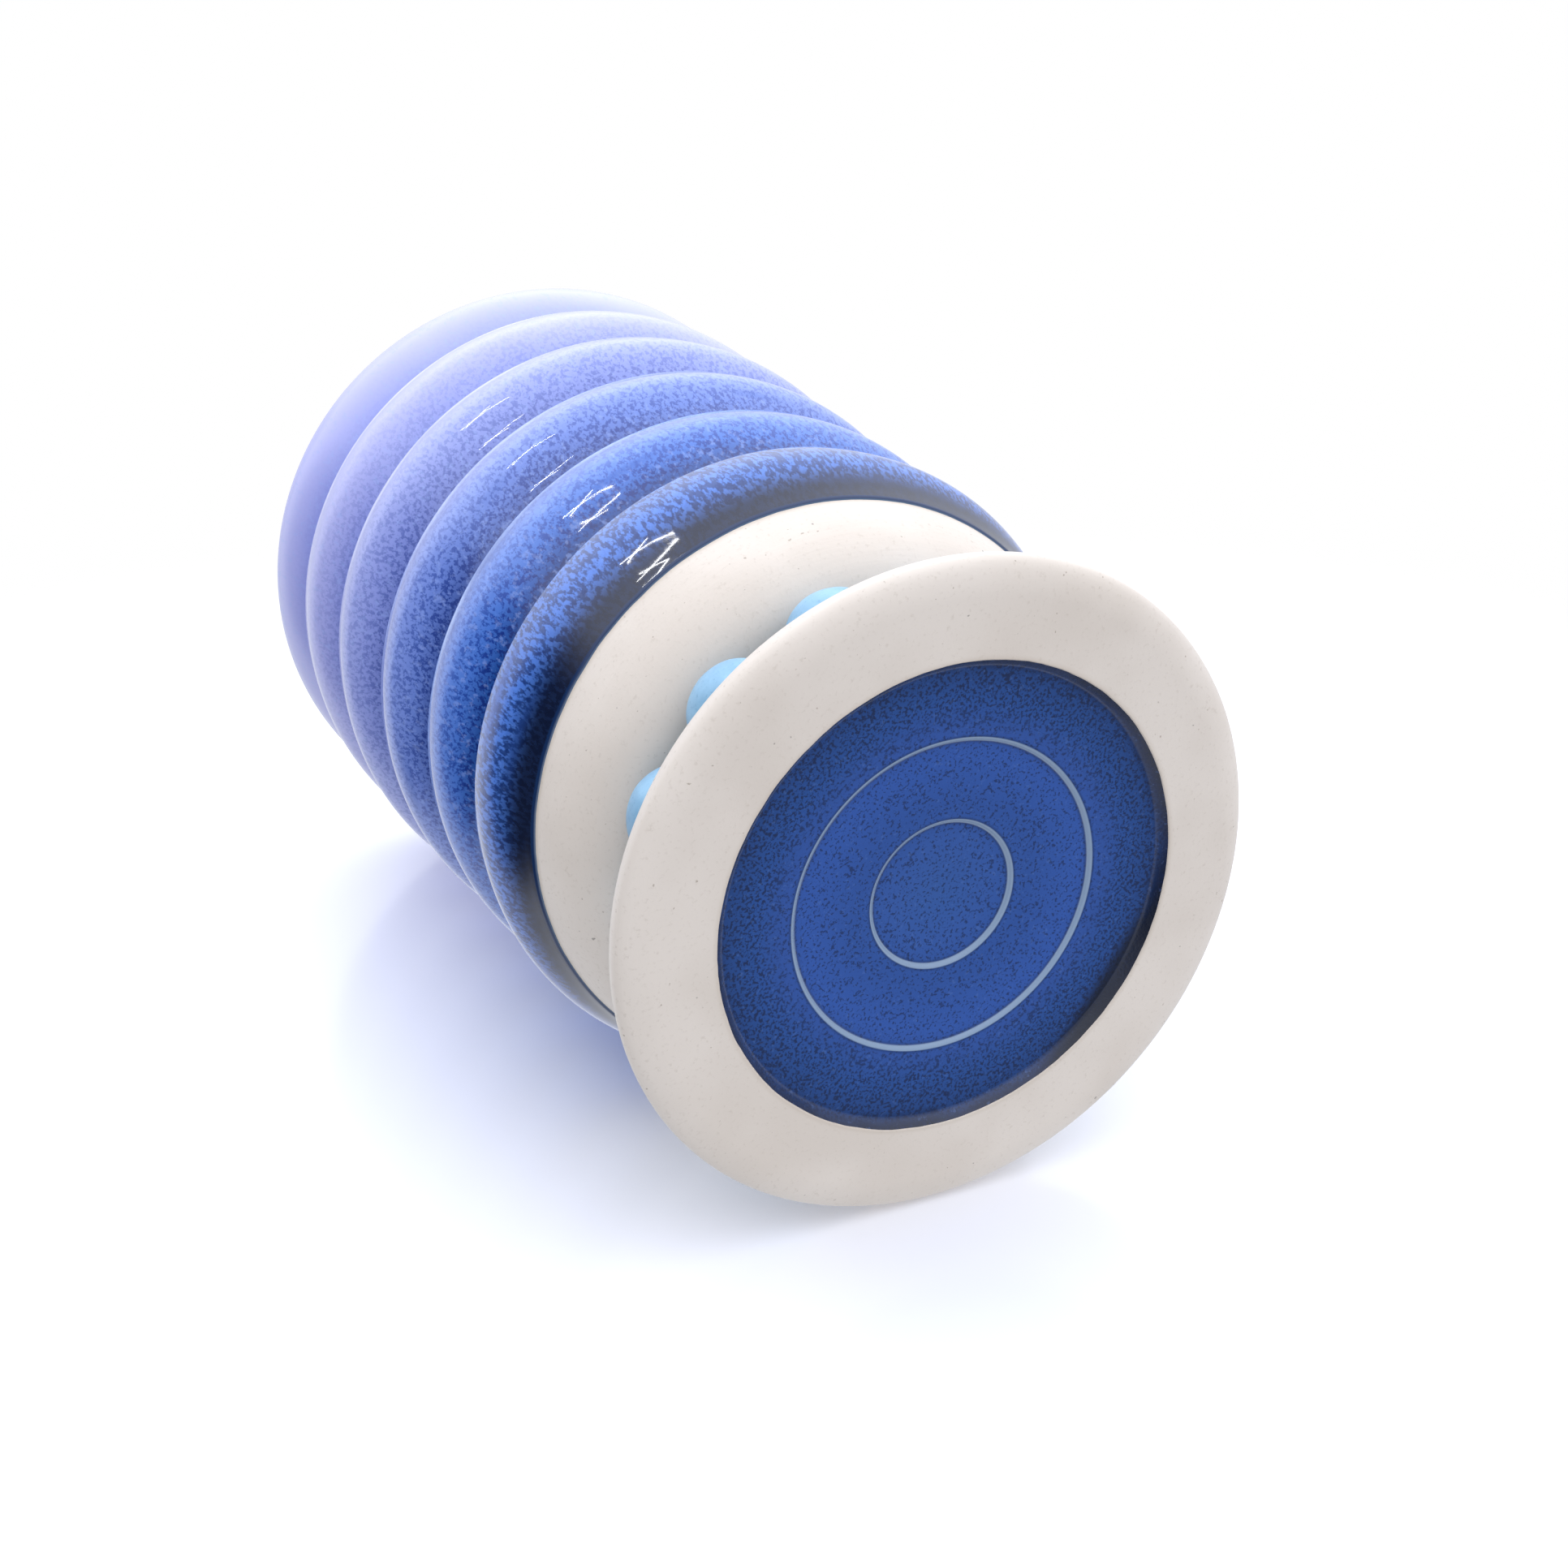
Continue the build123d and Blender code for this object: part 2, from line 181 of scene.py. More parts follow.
@dataclass
class Outline:
    """Half section of a turned piece, in millimetres: radius and height of each row, in order."""

    start: Point
    rows: list[Point] = field(default_factory=list)
    zones: list[Zone] = field(default_factory=list)
    edges: list[tuple[int, Point]] = field(default_factory=list)

    def __post_init__(self) -> None:
        """Begins the outline at its first point."""
        self.rows.append(self.start)

    def _extend(self, points: list[Point], zone: Zone) -> None:
        """Adds rows in one zone."""
        self.rows += [tuple(map(float, point)) for point in points]
        self.zones += [zone] * len(points)

    def line(self, end: Point, rows: int, zone: Zone) -> None:
        """Adds a straight stretch.

        Args:
            end: where it ends.
            rows: number of rows it is cut into.
            zone: what covers it.
        """
        first, last = np.array(self.rows[-1]), np.array(end)
        self._extend([first + (last - first) * i / rows for i in range(1, rows + 1)], zone)

    def arc(self, centre: Point, turn: float, rows: int, zone: Zone) -> None:
        """Adds a round stretch about a centre.

        Args:
            centre: middle of the arc.
            turn: degrees, positive from +radius towards +height.
            rows: number of rows it is cut into.
            zone: what covers it.
        """
        out = self.rows[-1][0] - centre[0]
        up = self.rows[-1][1] - centre[1]
        points = []
        for i in range(1, rows + 1):
            a = math.radians(turn * i / rows)
            points.append((
                centre[0] + out * math.cos(a) - up * math.sin(a),
                centre[1] + out * math.sin(a) + up * math.cos(a),
            ))
        self._extend(points, zone)

    def spline(self, points: list[Point], start: Point, end: Point, rows: int, zone: Zone) -> None:
        """Adds a smooth stretch.

        Args:
            points: points it passes after the last row.
            start: direction it leaves in.
            end: direction it arrives in.
            rows: number of rows it is cut into.
            zone: what covers it.
        """
        self._extend(clamped_spline([self.rows[-1], *points], start, end, rows), zone)

    def glaze_edge(self, slide: Point) -> None:
        """Marks the last row as an edge of the glaze, which wanders to and fro along slide."""
        self.edges.append((len(self.rows) - 1, slide))

    def softened(self, radius: float) -> "Outline":
        """Rounds every corner, as glaze and a wet sponge do.

        Args:
            radius: how far each rounding reaches along the two stretches, at most.

        Returns:
            A new outline.
        """
        soft = Outline(self.rows[0])
        moved = {}
        points = np.array(self.rows)
        for i in range(1, len(points)):
            before, after = [points[i]], []
            if i < len(points) - 1:
                before, after = self._rounding(*points[i - 1 : i + 2], radius)
            soft._extend(before, self.zones[i - 1])
            moved[i] = len(soft.rows) - 1
            if after:
                soft._extend(after, self.zones[i])
        soft.edges = [(moved[i], slide) for i, slide in self.edges]
        return soft

    @staticmethod
    def _rounding(back: np.ndarray, here: np.ndarray, on: np.ndarray, radius: float) -> tuple[list, list]:
        """Gives the rows that stand in for a point: up to its middle, and after it, where it is a corner."""
        arms = back - here, on - here
        reach = [float(np.linalg.norm(arm)) for arm in arms]
        if float(np.dot(*arms) / (reach[0] * reach[1])) <= -math.cos(SMALLEST_CORNER):
            return [here], []
        cut = min(radius, LONGEST_CUT * reach[0], LONGEST_CUT * reach[1])
        first, last = [here + arm / length * cut for arm, length in zip(arms, reach)]
        bend = [first * (1 - t) ** 2 + here * 2 * t * (1 - t) + last * t**2 for t in BEND_STEPS]
        guards = [
            [here + arm / length * cut * GUARD_REACH] if length > GUARD_ROOM * cut else []
            for arm, length in zip(arms, reach)
        ]
        return guards[0] + bend[:3], bend[3:] + guards[1]

    def mesh(self, name: str, edge_reach: float = 2.6) -> bpy.types.Mesh:
        """Makes the outline a chain of vertices that carries what the wheel needs.

        Args:
            name: name of the mesh.
            edge_reach: how far from an edge of the glaze its wandering dies out, in millimetres.

        Returns:
            A mesh of vertices with zone, from_edge and slide on each.
        """
        rows = np.array(self.rows)
        along = np.concatenate([[0], np.cumsum(np.linalg.norm(np.diff(rows, axis=0), axis=1))])
        covers = [self.zones[0], *self.zones]
        from_edge = np.full(len(rows), 1.0)
        slides = np.zeros((len(rows), 3))
        for index, slide in self.edges:
            distance = np.abs(along - along[index])
            fade = np.clip(1 - distance / edge_reach, 0, 1) ** 2
            slides[:, 0] += fade * slide[0] * MM
            slides[:, 2] += fade * slide[1] * MM
            from_edge = np.minimum(from_edge, distance * MM)
        mesh = bpy.data.meshes.new(name)
        mesh.from_pydata([(r * MM, 0, z * MM) for r, z in self.rows], [], [])
        layers = mesh.attributes
        layers.new("zone", "INT", "POINT").data.foreach_set("value", [z.value for z in covers])
        layers.new("from_edge", "FLOAT", "POINT").data.foreach_set("value", from_edge)
        layers.new("slide", "FLOAT_VECTOR", "POINT").data.foreach_set("vector", slides.ravel())
        return mesh


@dataclass
class Wheel:
    """Turns an outline round the axis with Geometry Nodes, with the slight wander of a hand-thrown piece."""

    segments: int = 196
    wander: float = 0.22
    wander_size: float = 45.0
    still_radius: float = 0.02
    merge: float = 2e-6
    drips: tuple[tuple[str, float], ...] = (("Scale", 7.0), ("Detail", 3.0), ("Roughness", 0.62))
    tree: bpy.types.NodeTree = field(init=False)
    sockets: dict[str, str] = field(init=False, default_factory=dict)

    def __post_init__(self) -> None:
        """Builds the tree."""
        self.tree = bpy.data.node_groups.new("turned_on_the_wheel", "GeometryNodeTree")
        face = self.tree.interface
        face.new_socket("Outline", in_out="INPUT", socket_type="NodeSocketGeometry")
        kinds = {"Segments": "Int", "Wander": "Float", "Wander Size": "Float", "Seed": "Float"}
        kinds |= {zone.name: "Material" for zone in Zone}
        for name, kind in kinds.items():
            item = face.new_socket(name, in_out="INPUT", socket_type=f"NodeSocket{kind}")
            self.sockets[name] = item.identifier
        face.new_socket("Piece", in_out="OUTPUT", socket_type="NodeSocketGeometry")
        self._build()

    def _build(self) -> None:
        """Lays out the nodes: a grid whose columns stand round the axis and whose rows follow the outline."""
        t = self.tree
        given = add(t, "NodeGroupInput").outputs
        outline = {"Geometry": given["Outline"]}
        rows = add(t, "GeometryNodeAttributeDomainSize", outline).outputs["Point Count"]
        columns = add(t, "ShaderNodeMath", {0: given["Segments"], 1: 1.0}, operation="ADD")
        size = {"Size X": 1.0, "Size Y": 1.0, "Vertices X": columns, "Vertices Y": rows}
        grid = add(t, "GeometryNodeMeshGrid", size)
        index = add(t, "GeometryNodeInputIndex")
        row = add(t, "ShaderNodeMath", {0: index, 1: rows}, operation="MODULO")
        over = add(t, "ShaderNodeMath", {0: index, 1: rows}, operation="DIVIDE")
        column = add(t, "ShaderNodeMath", {0: over}, operation="FLOOR")
        share = add(t, "ShaderNodeMath", {0: column, 1: given["Segments"]}, operation="DIVIDE")
        angle = add(t, "ShaderNodeMath", {0: share, 1: 2 * math.pi}, operation="MULTIPLY")
        spot = outline | {"Index": row, "Value": add(t, "GeometryNodeInputPosition")}
        place = add(t, "GeometryNodeSampleIndex", spot, data_type="FLOAT_VECTOR")
        turned = add(t, "ShaderNodeVectorRotate", {"Vector": place, "Angle": angle}, rotation_type="Z_AXIS")
        flat = add(t, "ShaderNodeVectorMath", {0: turned, 1: (1.0, 1.0, 0.0)}, operation="MULTIPLY")
        outward = add(t, "ShaderNodeVectorMath", {0: flat}, operation="NORMALIZE")
        thrown = self._thrown(given, turned, flat, outward)
        slide = self._carried(given, "slide", "FLOAT_VECTOR", row)
        slide = add(t, "ShaderNodeVectorRotate", {"Vector": slide, "Angle": angle}, rotation_type="Z_AXIS")
        run = {"Vector": outward, "W": given["Seed"], **dict(self.drips)}
        drips = add(t, "ShaderNodeTexNoise", run, noise_dimensions="4D")
        sway = add(t, "ShaderNodeMath", {0: drips, 1: 2.0, 2: -1.0}, operation="MULTIPLY_ADD")
        wave = add(t, "ShaderNodeVectorMath", {0: slide, "Scale": sway}, operation="SCALE")
        final = add(t, "ShaderNodeVectorMath", {0: thrown, 1: wave}, operation="ADD")
        shape = add(t, "GeometryNodeSetPosition", {"Geometry": grid, "Position": final})
        face_rows = add(t, "ShaderNodeMath", {0: rows, 1: 1.0}, operation="SUBTRACT")
        face_row = add(t, "ShaderNodeMath", {0: index, 1: face_rows}, operation="MODULO")
        upper_row = add(t, "ShaderNodeMath", {0: face_row, 1: 1.0}, operation="ADD")
        carried = (("from_edge", "FLOAT", "POINT", row), ("zone", "INT", "FACE", upper_row))
        for name, kind, domain, source in carried:
            value = {"Geometry": shape, "Name": name, "Value": self._carried(given, name, kind, source)}
            shape = add(t, "GeometryNodeStoreNamedAttribute", value, data_type=kind, domain=domain)
        shape = add(t, "GeometryNodeMergeByDistance", {"Geometry": shape, "Distance": self.merge})
        shape = add(t, "GeometryNodeSetShadeSmooth", {"Geometry": shape})
        shape = add(t, "GeometryNodeRealizeInstances", {"Geometry": shape})
        covers = add(t, "GeometryNodeInputNamedAttribute", {"Name": "zone"}, data_type="INT")
        for zone in Zone:
            pair = {2: covers, 3: zone.value}
            here = add(t, "FunctionNodeCompare", pair, data_type="INT", operation="EQUAL")
            dressed = {"Geometry": shape, "Selection": here, "Material": given[zone.name]}
            shape = add(t, "GeometryNodeSetMaterial", dressed)
        add(t, "NodeGroupOutput", {0: shape})

    def _thrown(self, given: Any, turned: Feed, flat: Feed, outward: Feed) -> Feed:
        """Moves the wall inwards by a slow noise, which dies out at the axis."""
        t = self.tree
        scale = add(t, "ShaderNodeMath", {0: 1.0, 1: given["Wander Size"]}, operation="DIVIDE")
        slow = {"Vector": turned, "W": given["Seed"], "Detail": 1.0, "Scale": scale}
        noise = add(t, "ShaderNodeTexNoise", slow, noise_dimensions="4D")
        inward = add(t, "ShaderNodeMath", {0: noise, 1: given["Wander"]}, operation="MULTIPLY")
        radius = add(t, "ShaderNodeVectorMath", {0: flat}, operation="LENGTH").outputs["Value"]
        near_axis = add(t, "ShaderNodeMapRange", {"Value": radius, "From Max": self.still_radius})
        amount = add(t, "ShaderNodeMath", {0: inward, 1: near_axis}, operation="MULTIPLY")
        shrink = add(t, "ShaderNodeVectorMath", {0: outward, "Scale": amount}, operation="SCALE")
        return add(t, "ShaderNodeVectorMath", {0: turned, 1: shrink}, operation="SUBTRACT")

    def _carried(self, given: Any, name: str, kind: str, row: Feed) -> Feed:
        """Reads a value that the outline carries, at one of its rows."""
        value = add(self.tree, "GeometryNodeInputNamedAttribute", {"Name": name}, data_type=kind)
        source = {"Geometry": given["Outline"], "Index": row, "Value": value}
        return add(self.tree, "GeometryNodeSampleIndex", source, data_type=kind)

    def turn(
        self, outline: Outline, name: str, finishes: dict[Zone, bpy.types.Material], seed: float,
        segments: int | None = None, wander: float | None = None, size: float | None = None,
    ) -> bpy.types.Object:
        """Turns an outline into a closed piece.

        Args:
            outline: half section of the piece.
            name: name of the piece.
            finishes: material of each zone.
            seed: picks this piece's own wander.
            segments: columns round the axis, when not the wheel's own.
            wander: how far the wall wanders inwards, in millimetres, when not the wheel's own.
            size: length of the wander, in millimetres, when not the wheel's own.

        Returns:
            An object with a plain mesh.
        """
        piece = bpy.data.objects.new(name, outline.mesh(f"{name}_outline"))
        bpy.context.scene.collection.objects.link(piece)
        modifier = piece.modifiers.new("wheel", "NODES")
        modifier.node_group = self.tree
        values = {
            "Segments": segments or self.segments,
            "Wander": (self.wander if wander is None else wander) * MM,
            "Wander Size": (size or self.wander_size) * MM,
            "Seed": float(seed),
        }
        values |= {zone.name: material for zone, material in finishes.items()}
        for key, value in values.items():
            modifier[self.sockets[key]] = value
        return as_plain_mesh(piece)


def as_plain_mesh(piece: bpy.types.Object) -> bpy.types.Object:
    """Turns what a piece's modifiers make into its own mesh, facing outwards.

    Args:
        piece: object with modifiers.

    Returns:
        The same object.
    """
    graph = bpy.context.evaluated_depsgraph_get()
    mesh = bpy.data.meshes.new_from_object(
        piece.evaluated_get(graph), preserve_all_data_layers=True, depsgraph=graph
    )
    piece.modifiers.clear()
    piece.data = mesh
    mesh.name = piece.name
    mesh.calc_loop_triangles()
    spots = np.zeros(len(mesh.vertices) * 3)
    mesh.vertices.foreach_get("co", spots)
    corners = np.zeros(len(mesh.loop_triangles) * 3, int)
    mesh.loop_triangles.foreach_get("vertices", corners)
    a, b, c = spots.reshape(-1, 3)[corners.reshape(-1, 3)].transpose(1, 0, 2)
    if float(np.einsum("ij,ij->", a, np.cross(b, c))) < 0:
        mesh.flip_normals()
    LOG.info("%s: %d faces", piece.name, len(mesh.polygons))
    return piece


# ---- Finishes -------------------------------------------------------------------------


@dataclass
class Surface:
    """A material being built: its tree, its shader and the object's own coordinates."""

    name: str
    material: bpy.types.Material = field(init=False)
    tree: bpy.types.NodeTree = field(init=False)
    shader: bpy.types.Node = field(init=False)
    output: bpy.types.Node = field(init=False)
    place: bpy.types.NodeSocket = field(init=False)

    def __post_init__(self) -> None:
        """Starts the material."""
        self.material = bpy.data.materials.new(self.name)
        self.material.use_nodes = True
        self.tree = self.material.node_tree
        self.tree.nodes.clear()
        self.shader = add(self.tree, "ShaderNodeBsdfPrincipled")
        self.output = add(self.tree, "ShaderNodeOutputMaterial", {"Surface": self.shader})
        self.place = add(self.tree, "ShaderNodeTexCoord").outputs["Object"]

    def noise(self, size_mm: float, detail: float = 2.0, roughness: float = 0.5,
              stretch: Point3 = (1.0, 1.0, 1.0)) -> Feed:
        """Gives noise of a real size.

        Args:
            size_mm: length of one blot.
            detail: octaves.
            roughness: how strong the finer octaves are.
            stretch: how much finer the pattern is along each axis.

        Returns:
            A value of about 0.3 to 0.7.
        """
        spot = add(self.tree, "ShaderNodeMapping", {"Vector": self.place, "Scale": stretch})
        settings = {"Vector": spot, "Scale": 1 / (size_mm * MM), "Detail": detail, "Roughness": roughness}
        return add(self.tree, "ShaderNodeTexNoise", settings)

    def share(self, value: Feed, low: float, high: float, peak: float = 1.0) -> Feed:
        """Rises smoothly from 0 at low to peak at high."""
        limits = {"Value": value, "From Min": low, "From Max": high, "To Max": peak}
        return add(self.tree, "ShaderNodeMapRange", limits, interpolation_type="SMOOTHSTEP")

    def blend(self, amount: Any, base: Any, other: Any, mode: str = "MIX") -> Feed:
        """Lays one colour over another by an amount."""
        inputs = {0: amount, 6: base, 7: other}
        return add(self.tree, "ShaderNodeMix", inputs, data_type="RGBA", blend_type=mode).outputs[2]

    def tint(self, base: Any, colour: str, value: Feed, low: float, high: float, peak: float = 1.0) -> Feed:
        """Lays a hex colour over the base, by a share that rises with the value."""
        return self.blend(self.share(value, low, high, peak), base, linear(colour))

    def from_edge(self) -> Feed:
        """Gives the distance from the nearest edge of the glaze, in metres."""
        return add(self.tree, "ShaderNodeAttribute", attribute_name="from_edge").outputs["Fac"]

    def sums(self, operation: str, *values: Any) -> Feed:
        """Works out one value from others."""
        return add(self.tree, "ShaderNodeMath", dict(enumerate(values)), operation=operation)

    def dress(self, colour: Feed, roughness: Feed, relief: list[tuple[Feed, float]],
              **uniform: float) -> bpy.types.Material:
        """Finishes the material.

        Args:
            colour: base colour.
            roughness: roughness.
            relief: heights from 0 to 1, each with its depth in millimetres.
            uniform: other values of the shader, the same all over.

        Returns:
            The material.
        """
        inputs = {"Base Color": colour, "Roughness": roughness}
        for height, depth in relief:
            bump = {"Height": height, "Distance": depth * MM, "Strength": 1.0}
            if "Normal" in inputs:
                bump["Normal"] = inputs["Normal"]
            inputs["Normal"] = add(self.tree, "ShaderNodeBump", bump)
        inputs |= {name.replace("_", " "): value for name, value in uniform.items()}
        feed(self.tree, self.shader, inputs)
        return self.material


@dataclass(frozen=True)
class RutileBlue:
    """Rutile blue glaze, brushed thick: it runs off the lips, pale there, and pools dark in the grooves, with
    painted highlights on the lips and painted shade in the grooves.

    A fired glass surface, so it is smooth and mirror-like, with crystals of rutile as flecks under the gloss.
    """

    first_lip: float
    pitch: float
    glaze_line: float
    paler: Point = (0.052, 0.13)
    flecked: Point = (0.150, 0.060)
    streaked: Point = (0.096, 0.074)

    def make(self) -> bpy.types.Material:
        """Builds the material for the ridged wall."""
        s = Surface("rutile_blue_glaze")
        z = add(s.tree, "ShaderNodeSeparateXYZ", {0: s.place}).outputs["Z"]
        drift = s.sums("MULTIPLY_ADD", s.noise(16, 2), 3.2 * MM, -1.6 * MM)
        above = s.sums("SUBTRACT", s.sums("ADD", z, drift), self.first_lip * MM)
        ridge = s.sums("DIVIDE", above, self.pitch * MM)
        phase = s.sums("FRACT", ridge)
        # Colour up each ridge, from its lip (0) to just under the next lip (1). The bright stops at 0.94 to
        # 0.975 (0.965 in the pale ramp) are painted highlights over glaze that breaks pale on the lip. The
        # dark stops at the lip top and the groove bottom (1.0, 0.0 and 0.11; 0.13 in the pale ramp) are
        # painted shade over glaze that pools there.
        deep = paint_ramp(add(s.tree, "ShaderNodeValToRGB", {0: phase}), [
            (0.0, "1a3f78"), (0.05, "4a76a6"), (0.11, "0d3066"), (0.28, "184892"), (0.48, "4474ca"),
            (0.72, "668fe2"), (0.88, "3d6cc4"), (0.94, "8aabec"), (0.975, "a2c0f6"), (1.0, "1f4886"),
        ])
        pale = paint_ramp(add(s.tree, "ShaderNodeValToRGB", {0: phase}), [
            (0.0, "a09cc0"), (0.06, "bcb4c8"), (0.13, "8590d2"), (0.3, "909ae0"), (0.52, "aeb2ec"),
            (0.74, "c0c2f4"), (0.9, "a8ace8"), (0.965, "d6d8fc"), (1.0, "aaaee0"),
        ])
        # Paler towards the top: thinner glaze there, and partly painted light for the brightly lit,
        # washed-out upper ridges.
        colour = s.blend(s.share(z, *self.paler), deep, pale)
        crystals = s.noise(0.62, 4, 0.68, (1.0, 1.0, 0.6))
        off_pool = s.sums("ABSOLUTE", s.sums("SUBTRACT", phase, 0.36))
        limits = {"Value": off_pool, "From Min": 0.62, "From Max": 0.0, "To Min": 0.18, "To Max": 0.95}
        pooled = add(s.tree, "ShaderNodeMapRange", limits)
        strength = s.sums("MULTIPLY", pooled, s.share(z, *self.flecked, 0.95))
        specks = s.sums("MULTIPLY", s.share(crystals, 0.47, 0.57), strength)
        colour = s.blend(specks, colour, linear("587ab4"), "MULTIPLY")
        light = s.sums("MULTIPLY", s.share(s.noise(0.9, 3, 0.6, (1.0, 1.0, 0.5)), 0.54, 0.68), 0.3)
        colour = s.blend(light, colour, linear("9db4ee"))
        runs = s.noise(0.6, 3, 0.6, (1.0, 1.0, 0.34))
        lowest = s.share(z, (self.first_lip + 0.2) * MM, (self.first_lip - 0.6) * MM)
        flecks = s.blend(s.share(runs, 0.43, 0.56), linear("4f7fd8"), linear("0c3070"))
        colour = s.blend(s.sums("MULTIPLY", lowest, 0.8), colour, flecks)
        streak = s.share(s.noise(30, 1, 0.4, (1.0, 1.0, 9.0)), 0.62, 0.74, 0.6)
        streak = s.sums("MULTIPLY", streak, s.share(z, *self.streaked))
        colour = s.blend(streak, colour, linear("2f5cb4"))
        line = self.glaze_line
        # Painted dark reflection: a near-black band over the lowest 8 mm of glaze above the glaze line, where
        # the glaze also pools thick.
        colour = s.tint(colour, "040f28", z, (line + 8.0) * MM, (line + 2.2) * MM, 0.95)
        from_edge = s.from_edge()
        colour = s.tint(colour, "14305a", from_edge, 0.9 * MM, 0.5 * MM, 0.9)
        colour = s.tint(colour, "6f8aa2", from_edge, 0.26 * MM, 0.1 * MM, 0.4)
        roughness = s.sums("MULTIPLY_ADD", specks, 0.02, 0.04)
        return s.dress(colour, roughness, [(s.noise(5, 1), 0.03), (crystals, 0.0012)], IOR=1.52)


@dataclass(frozen=True)
class FootRecessGlaze:
    """The same blue on the foot's recess: thinner, granular, half glossy, and pale on the steps."""

    rings: tuple[float, float]
    edge: float
    shaded_side: Point3 = (-0.21, -0.98, 0.0)

    def make(self) -> bpy.types.Material:
        """Builds the material for the recess, with painted shade and a painted dark reflection against one
        side of its wall.
        """
        s = Surface("foot_recess_glaze")
        flat = add(s.tree, "ShaderNodeVectorMath", {0: s.place, 1: (1.0, 1.0, 0.0)}, operation="MULTIPLY")
        radius = add(s.tree, "ShaderNodeVectorMath", {0: flat}, operation="LENGTH").outputs["Value"]
        drift = s.sums("MULTIPLY_ADD", s.noise(14, 2), 3.0 * MM, -1.5 * MM)
        out = s.sums("DIVIDE", s.sums("ADD", radius, drift), self.edge * MM)
        # Darker towards the recess edge. The near-black last stops (0.985 and 1.0) are painted shade along
        # the recess wall, over glaze that pools in the corner.
        colour = paint_ramp(add(s.tree, "ShaderNodeValToRGB", {0: out}), [
            (0.0, "30599f"), (0.22, "3058a2"), (0.38, "2a529c"), (0.6, "2f58a8"), (0.7, "2d539e"),
            (0.82, "234e94"), (0.94, "1d4482"), (0.985, "0c1f40"), (1.0, "081428"),
        ])
        grain = s.noise(0.4, 2, 0.65)
        outer = s.share(out, 0.62, 0.82)
        dense = s.sums("MULTIPLY", s.share(grain, 0.47, 0.6, 0.85), outer)
        sparse = s.share(grain, 0.54, 0.62, 0.7)
        colour = s.blend(s.sums("MAXIMUM", dense, sparse), colour, linear("0c2046"))
        colour = s.tint(colour, "5f83c4", s.noise(0.7, 2, 0.6), 0.6, 0.74, 0.2)
        # Painted shade: a near-black crescent along one side of the recess edge, for the wall's shadow and
        # its dark reflection.
        lean = add(s.tree, "ShaderNodeVectorMath", {0: s.place, 1: self.shaded_side}, operation="DOT_PRODUCT")
        start, full = 0.87 * self.edge * MM, 0.95 * self.edge * MM
        colour = s.tint(colour, "071226", lean.outputs["Value"], start, full, 0.9)
        for ring in self.rings:
            off = s.sums("ABSOLUTE", s.sums("SUBTRACT", radius, (ring + 0.22) * MM))
            colour = s.tint(colour, "16305c", off, 0.75 * MM, 0.35 * MM, 0.6)
            colour = s.tint(colour, "8fa6bf", off, 0.38 * MM, 0.2 * MM, 0.9)
        roughness = s.sums("MULTIPLY_ADD", grain, 0.16, 0.14)
        return s.dress(colour, roughness, [(s.noise(4, 2), 0.05), (grain, 0.02)], IOR=1.5)


@dataclass(frozen=True)
class LinerGlaze:
    """A thinner coat of the blue glaze, poured and swirled: even, glossy, with fine flecks.

    It covers the inside of the pot, the lid and the bell.
    """

    name: str
    colour: str
    fleck: str
    thin: str

    def make(self) -> bpy.types.Material:
        """Builds the material."""
        s = Surface(self.name)
        cloud = s.noise(18, 3, 0.55)
        colour = s.blend(s.share(cloud, 0.36, 0.66), linear(self.colour), linear(self.thin))
        crystals = s.noise(0.95, 4, 0.62)
        colour = s.tint(colour, self.fleck, crystals, 0.5, 0.66, 0.6)
        colour = s.tint(colour, "56708c", s.from_edge(), 1.5 * MM, 0.3 * MM, 0.7)
        edges = add(s.tree, "ShaderNodeNewGeometry").outputs["Pointiness"]
        colour = s.tint(colour, "b9c2e6", edges, 0.52, 0.6, 0.5)
        roughness = s.sums("MULTIPLY_ADD", crystals, 0.06, 0.06)
        return s.dress(colour, roughness, [(s.noise(6, 1), 0.05), (crystals, 0.01)], IOR=1.52)


@dataclass(frozen=True)
class BareStoneware:
    """Unglazed cream stoneware, sponged before firing: satin, with faint wheel lines and iron specks."""

    def make(self) -> bpy.types.Material:
        """Builds the material."""
        s = Surface("bare_stoneware")
        cloud = s.noise(22, 3, 0.5)
        colour = s.blend(s.share(cloud, 0.34, 0.68), linear("e8dfd4"), linear("dfd5c9"))
        grog = s.noise(0.6, 3, 0.6)
        colour = s.tint(colour, "c6baab", grog, 0.55, 0.75, 0.35)
        colour = s.tint(colour, "8f7c66", s.noise(0.8, 2, 0.5), 0.725, 0.78, 0.55)
        colour = s.tint(colour, "6b6056", s.noise(1.1, 1, 0.4), 0.785, 0.82, 0.6)
        colour = s.tint(colour, "b9a892", s.from_edge(), 0.9 * MM, 0.0, 0.3)
        lines = s.noise(4.0, 2, 0.6, (0.35, 0.35, 5.0))
        roughness = s.sums("MULTIPLY_ADD", grog, 0.2, 0.36)
        return s.dress(colour, roughness, [(lines, 0.05), (grog, 0.02)], IOR=1.5, Diffuse_Roughness=0.3)


@dataclass(frozen=True)
class BeadSlip:
    """Light blue slip on a bead rolled by hand: satin, a little uneven in depth."""

    def make(self) -> bpy.types.Material:
        """Builds the material."""
        s = Surface("light_blue_slip")
        cloud = s.noise(5, 3, 0.55)
        colour = s.blend(s.share(cloud, 0.34, 0.66), linear("94c2e0"), linear("82b0d0"))
        grain = s.noise(0.5, 3, 0.6)
        colour = s.tint(colour, "5f8fb4", grain, 0.56, 0.74, 0.4)
        roughness = s.sums("MULTIPLY_ADD", grain, 0.2, 0.32)
        return s.dress(colour, roughness, [(s.noise(2.4, 2), 0.09), (grain, 0.02)], IOR=1.5)


